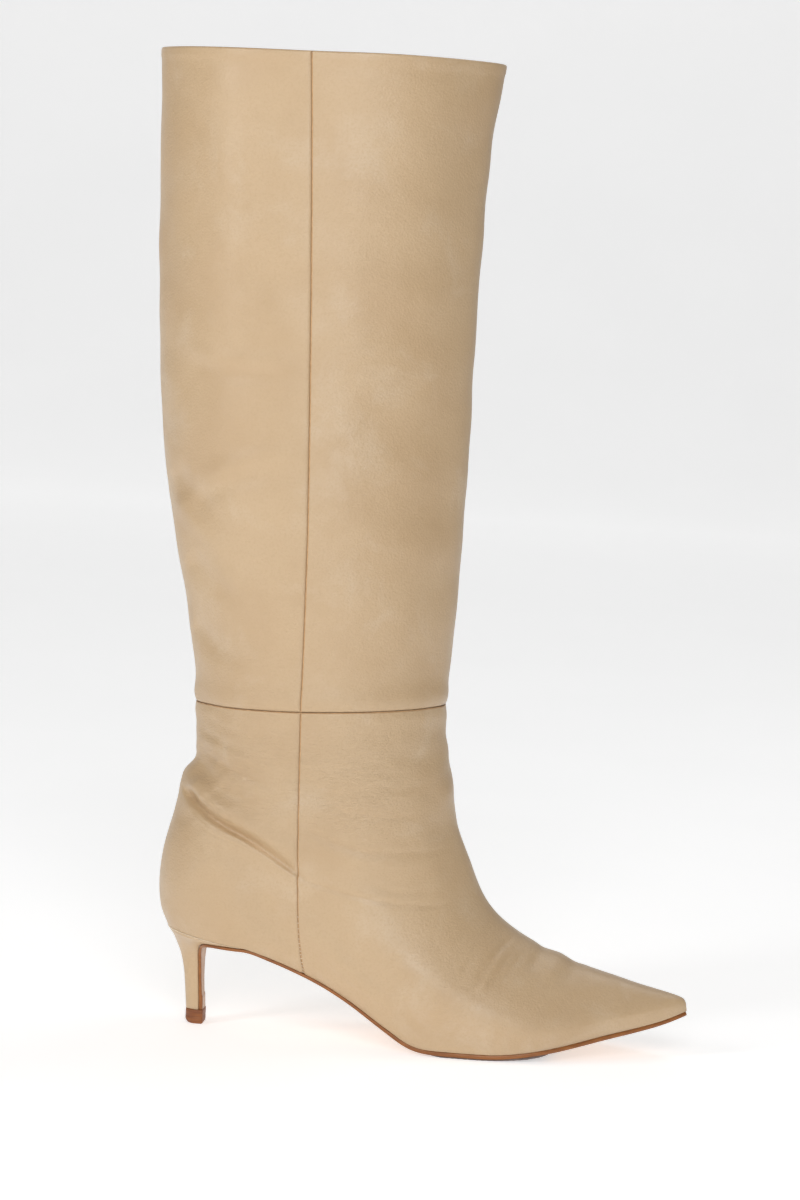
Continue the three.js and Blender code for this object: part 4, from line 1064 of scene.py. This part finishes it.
# the tread pad under the ball, with rounded corners and fine ribs
low_line = curve(sole_low[60:-1, 0], sole_low[60:-1, 1])
loops = []
TREAD_FROM, TREAD_TO, CORNER = 132.3, 189.3, 9.0
for x in np.concatenate([[TREAD_FROM + v for v in (0, 0.25, 0.8, 1.8, 3.2, 5, 7, 9)],
                         np.arange(TREAD_FROM + 9.7, TREAD_TO - 9.2, quick(0.7)),
                         [TREAD_TO - v for v in (9, 7, 5, 3.2, 1.8, 0.8, 0.25, 0)]]):
    near = min(x - TREAD_FROM, TREAD_TO - x)
    cut = CORNER - math.sqrt(CORNER ** 2 - max(0, CORNER - near) ** 2)
    a, b = sole_edge(x, -LEDGE)
    z = float(low_line(x))
    rib = 0.07 * (math.sin(x * 2 * math.pi / 2.8) > 0) * (near > 4)
    full = 0.6 + 0.5 * float(smooth((x - 160) / 25))
    thin = full * (0.4 + 0.6 * float(smooth(near / 0.8))) - rib
    loops.append(slab((x, z - 0.12), (x, z - 0.12 - thin), a + 0.6 + cut, b - 0.6 - cut))
loft("tread_pad", loops, tread_look, ["forefoot_tread"])


def plate(name, stop, bottom, top, material, node):
    """A flat piece inside the foot, from the back to stop, between two heights over the edge."""
    begin, end = BACK + PLATE_INSET, FOOT - 3 * PLATE_INSET
    lo, hi = begin + 0.02, min(stop, end - 0.05)
    share = np.linspace(0, 1, 110)
    share = (1 - np.cos(share * math.pi)) / 2
    rows = []
    for x in mix(lo, hi, share):
        a, b = sole_edge(x, PLATE_INSET)
        z = float(board_line(x))
        rows.append(slab((x, z + top(x)), (x, z + bottom(x)), a, b))
    return loft(name, rows, material, [node])


def pad_share(x):
    return float(smooth((58 - x) / 16))


INSOLE_TOP = 3.3
plate("sock_leather", FOOT, lambda x: mix(INSOLE_TOP + 0.6, 7.2, pad_share(x)),
      lambda x: mix(INSOLE_TOP + 1.4, 8.0, pad_share(x)), lining_leather, "sock_lining")
plate("heel_cushion", 56, lambda x: mix(INSOLE_TOP + 0.15, 4.9, pad_share(x)),
                lambda x: mix(INSOLE_TOP + 0.4, 6.9, pad_share(x)), foam_look, "heel_pad")


def top_piece_loop(z, inset, back_cut=0.0):
    """The D-shaped outline of the top piece at a height."""
    back, front, half = 15.3 + inset + back_cut, 24.1 - inset, 5.1 - inset
    loop = []
    for a in np.linspace(math.pi / 2, 3 * math.pi / 2, 41):
        c, s = math.cos(a), math.sin(a)
        loop.append((20.3 + (20.3 - back) * c, half * s, z))
    for a in np.linspace(-math.pi / 2, 0, 7)[1:]:
        loop.append((front - 0.7 + 0.7 * math.cos(a), -half + 0.7 + 0.7 * math.sin(a), z))
    for a in np.linspace(0, math.pi / 2, 7)[:-1]:
        loop.append((front - 0.7 + 0.7 * math.cos(a), half - 0.7 + 0.7 * math.sin(a), z))
    return loop[::-1]


# levels of the top piece: height, inset, and how far its back edge is worn off
tip_levels = [(0, 0.45, 1.1), (0.12, 0.2, 0.95), (0.45, 0.03, 0.7), (1.3, 0, 0.15), (1.9, 0, 0),
              (3.2, 0, 0), (3.3, 0.05, 0), (3.4, 0.05, 0), (3.5, 0, 0), (5.8, 0, 0),
              (6.45, 0.03, 0), (6.62, 0.15, 0)]
loft("heel_tip", [top_piece_loop(*level) for level in tip_levels], tip_look, ["top_piece"])

# what stays hidden inside keeps its CAD shape
HIDDEN = {"heel_block": block_look, "shank_board": board_look, "insole_board": board_look,
          "forepart_filler": foam_look}
for name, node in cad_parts.items():
    if node.hide_render:
        continue
    material = HIDDEN.get(name, steel_look)
    node.data.materials.clear()
    node.data.materials.append(material)

# ---- studio
scene = bpy.context.scene
white = Nodes("studio_white", 0.8)
white.bsdf.inputs["Emission Color"].default_value = (1, 1, 1, 1)
across_floor = white.add("ShaderNodeSeparateXYZ")
white.link(white.place, across_floor.inputs[0])
white.link(white.ramp(across_floor.outputs["X"], 0.4, 2.0, 0.5, 0.08),
           white.bsdf.inputs["Emission Strength"])
white.colour(white.tint(white.ramp(white.noise(6, 2), 0.3, 0.7), (0.86, 0.86, 0.86),
                        (0.84, 0.84, 0.84)))
FLOOR_END, SWEEP = 3.2, 1.2  # the floor runs to here and then bends up into the backdrop
profile = [(-3.0, 0.0), (FLOOR_END, 0.0)]
profile += [(FLOOR_END + SWEEP * math.sin(a), SWEEP - SWEEP * math.cos(a))
            for a in np.linspace(0, math.pi / 2, 24)[1:]]
profile.append((FLOOR_END + SWEEP, 4.0))
verts = [(x, y, z) for y, z in profile for x in (-5.0, 5.0)]
faces = [(2 * i, 2 * i + 1, 2 * i + 3, 2 * i + 2) for i in range(len(profile) - 1)]
me = bpy.data.meshes.new("studio_floor")
me.from_pydata(verts, [], faces)
me.polygons.foreach_set("use_smooth", [True] * len(me.polygons))
me.materials.append(white.mat)
floor = bpy.data.objects.new("studio_floor", me)
scene.collection.objects.link(floor)

world = bpy.data.worlds.new("studio")
scene.world = world
world.use_nodes = True
ground = world.node_tree.nodes["Background"]
rays = world.node_tree.nodes.new("ShaderNodeLightPath")
choose = world.node_tree.nodes.new("ShaderNodeMapRange")
choose.inputs["To Min"].default_value = 0.18  # as a light
choose.inputs["To Max"].default_value = 0.92  # as seen
world.node_tree.links.new(rays.outputs["Is Camera Ray"], choose.inputs["Value"])
world.node_tree.links.new(choose.outputs["Result"], ground.inputs["Strength"])
ground.inputs["Color"].default_value = (1, 1, 1, 1)

AIM = Vector((0.0, 0.0, 0.24))


def lamp(name, azimuth, height, distance, size, power):
    """A soft lamp; azimuth 0 is in front of the outer side and negative is to its left."""
    a, e = math.radians(azimuth), math.radians(height)
    data = bpy.data.lights.new(name, "AREA")
    data.shape = "RECTANGLE"
    data.size, data.size_y = size
    data.energy = power
    ob = bpy.data.objects.new(name, data)
    ob.location = AIM + Vector((math.sin(a) * math.cos(e), -math.cos(a) * math.cos(e),
                                math.sin(e))) * distance
    ob.rotation_euler = (AIM - ob.location).to_track_quat("-Z", "Y").to_euler()
    scene.collection.objects.link(ob)


lamp("key", 7, 25, 2.2, (1.1, 1.5), 21.3)
lamp("side", -48, 20, 1.9, (0.3, 1.1), 8.4)
lamp("rear", 135, 62, 2.0, (0.9, 0.9), 6)

camera = bpy.data.cameras.new("camera")
camera.lens, camera.sensor_width, camera.sensor_fit = 105, 36, "AUTO"
azimuth, pitch, roll = math.radians(6), math.radians(5.74), math.radians(3.1)
forward = Vector((-math.sin(azimuth) * math.cos(pitch), math.cos(azimuth) * math.cos(pitch),
                  -math.sin(pitch)))
right = Vector((math.cos(azimuth), math.sin(azimuth), 0))
upward = right.cross(forward)
across = right * math.cos(roll) + upward * math.sin(roll)
over = upward * math.cos(roll) - right * math.sin(roll)
eye = bpy.data.objects.new("camera", camera)
eye.matrix_world = Matrix((across, over, -forward)).transposed().to_4x4()
eye.location = (0.1577, -1.6012, 0.367)
scene.collection.objects.link(eye)
scene.camera = eye
scene.view_settings.view_transform = "Standard"
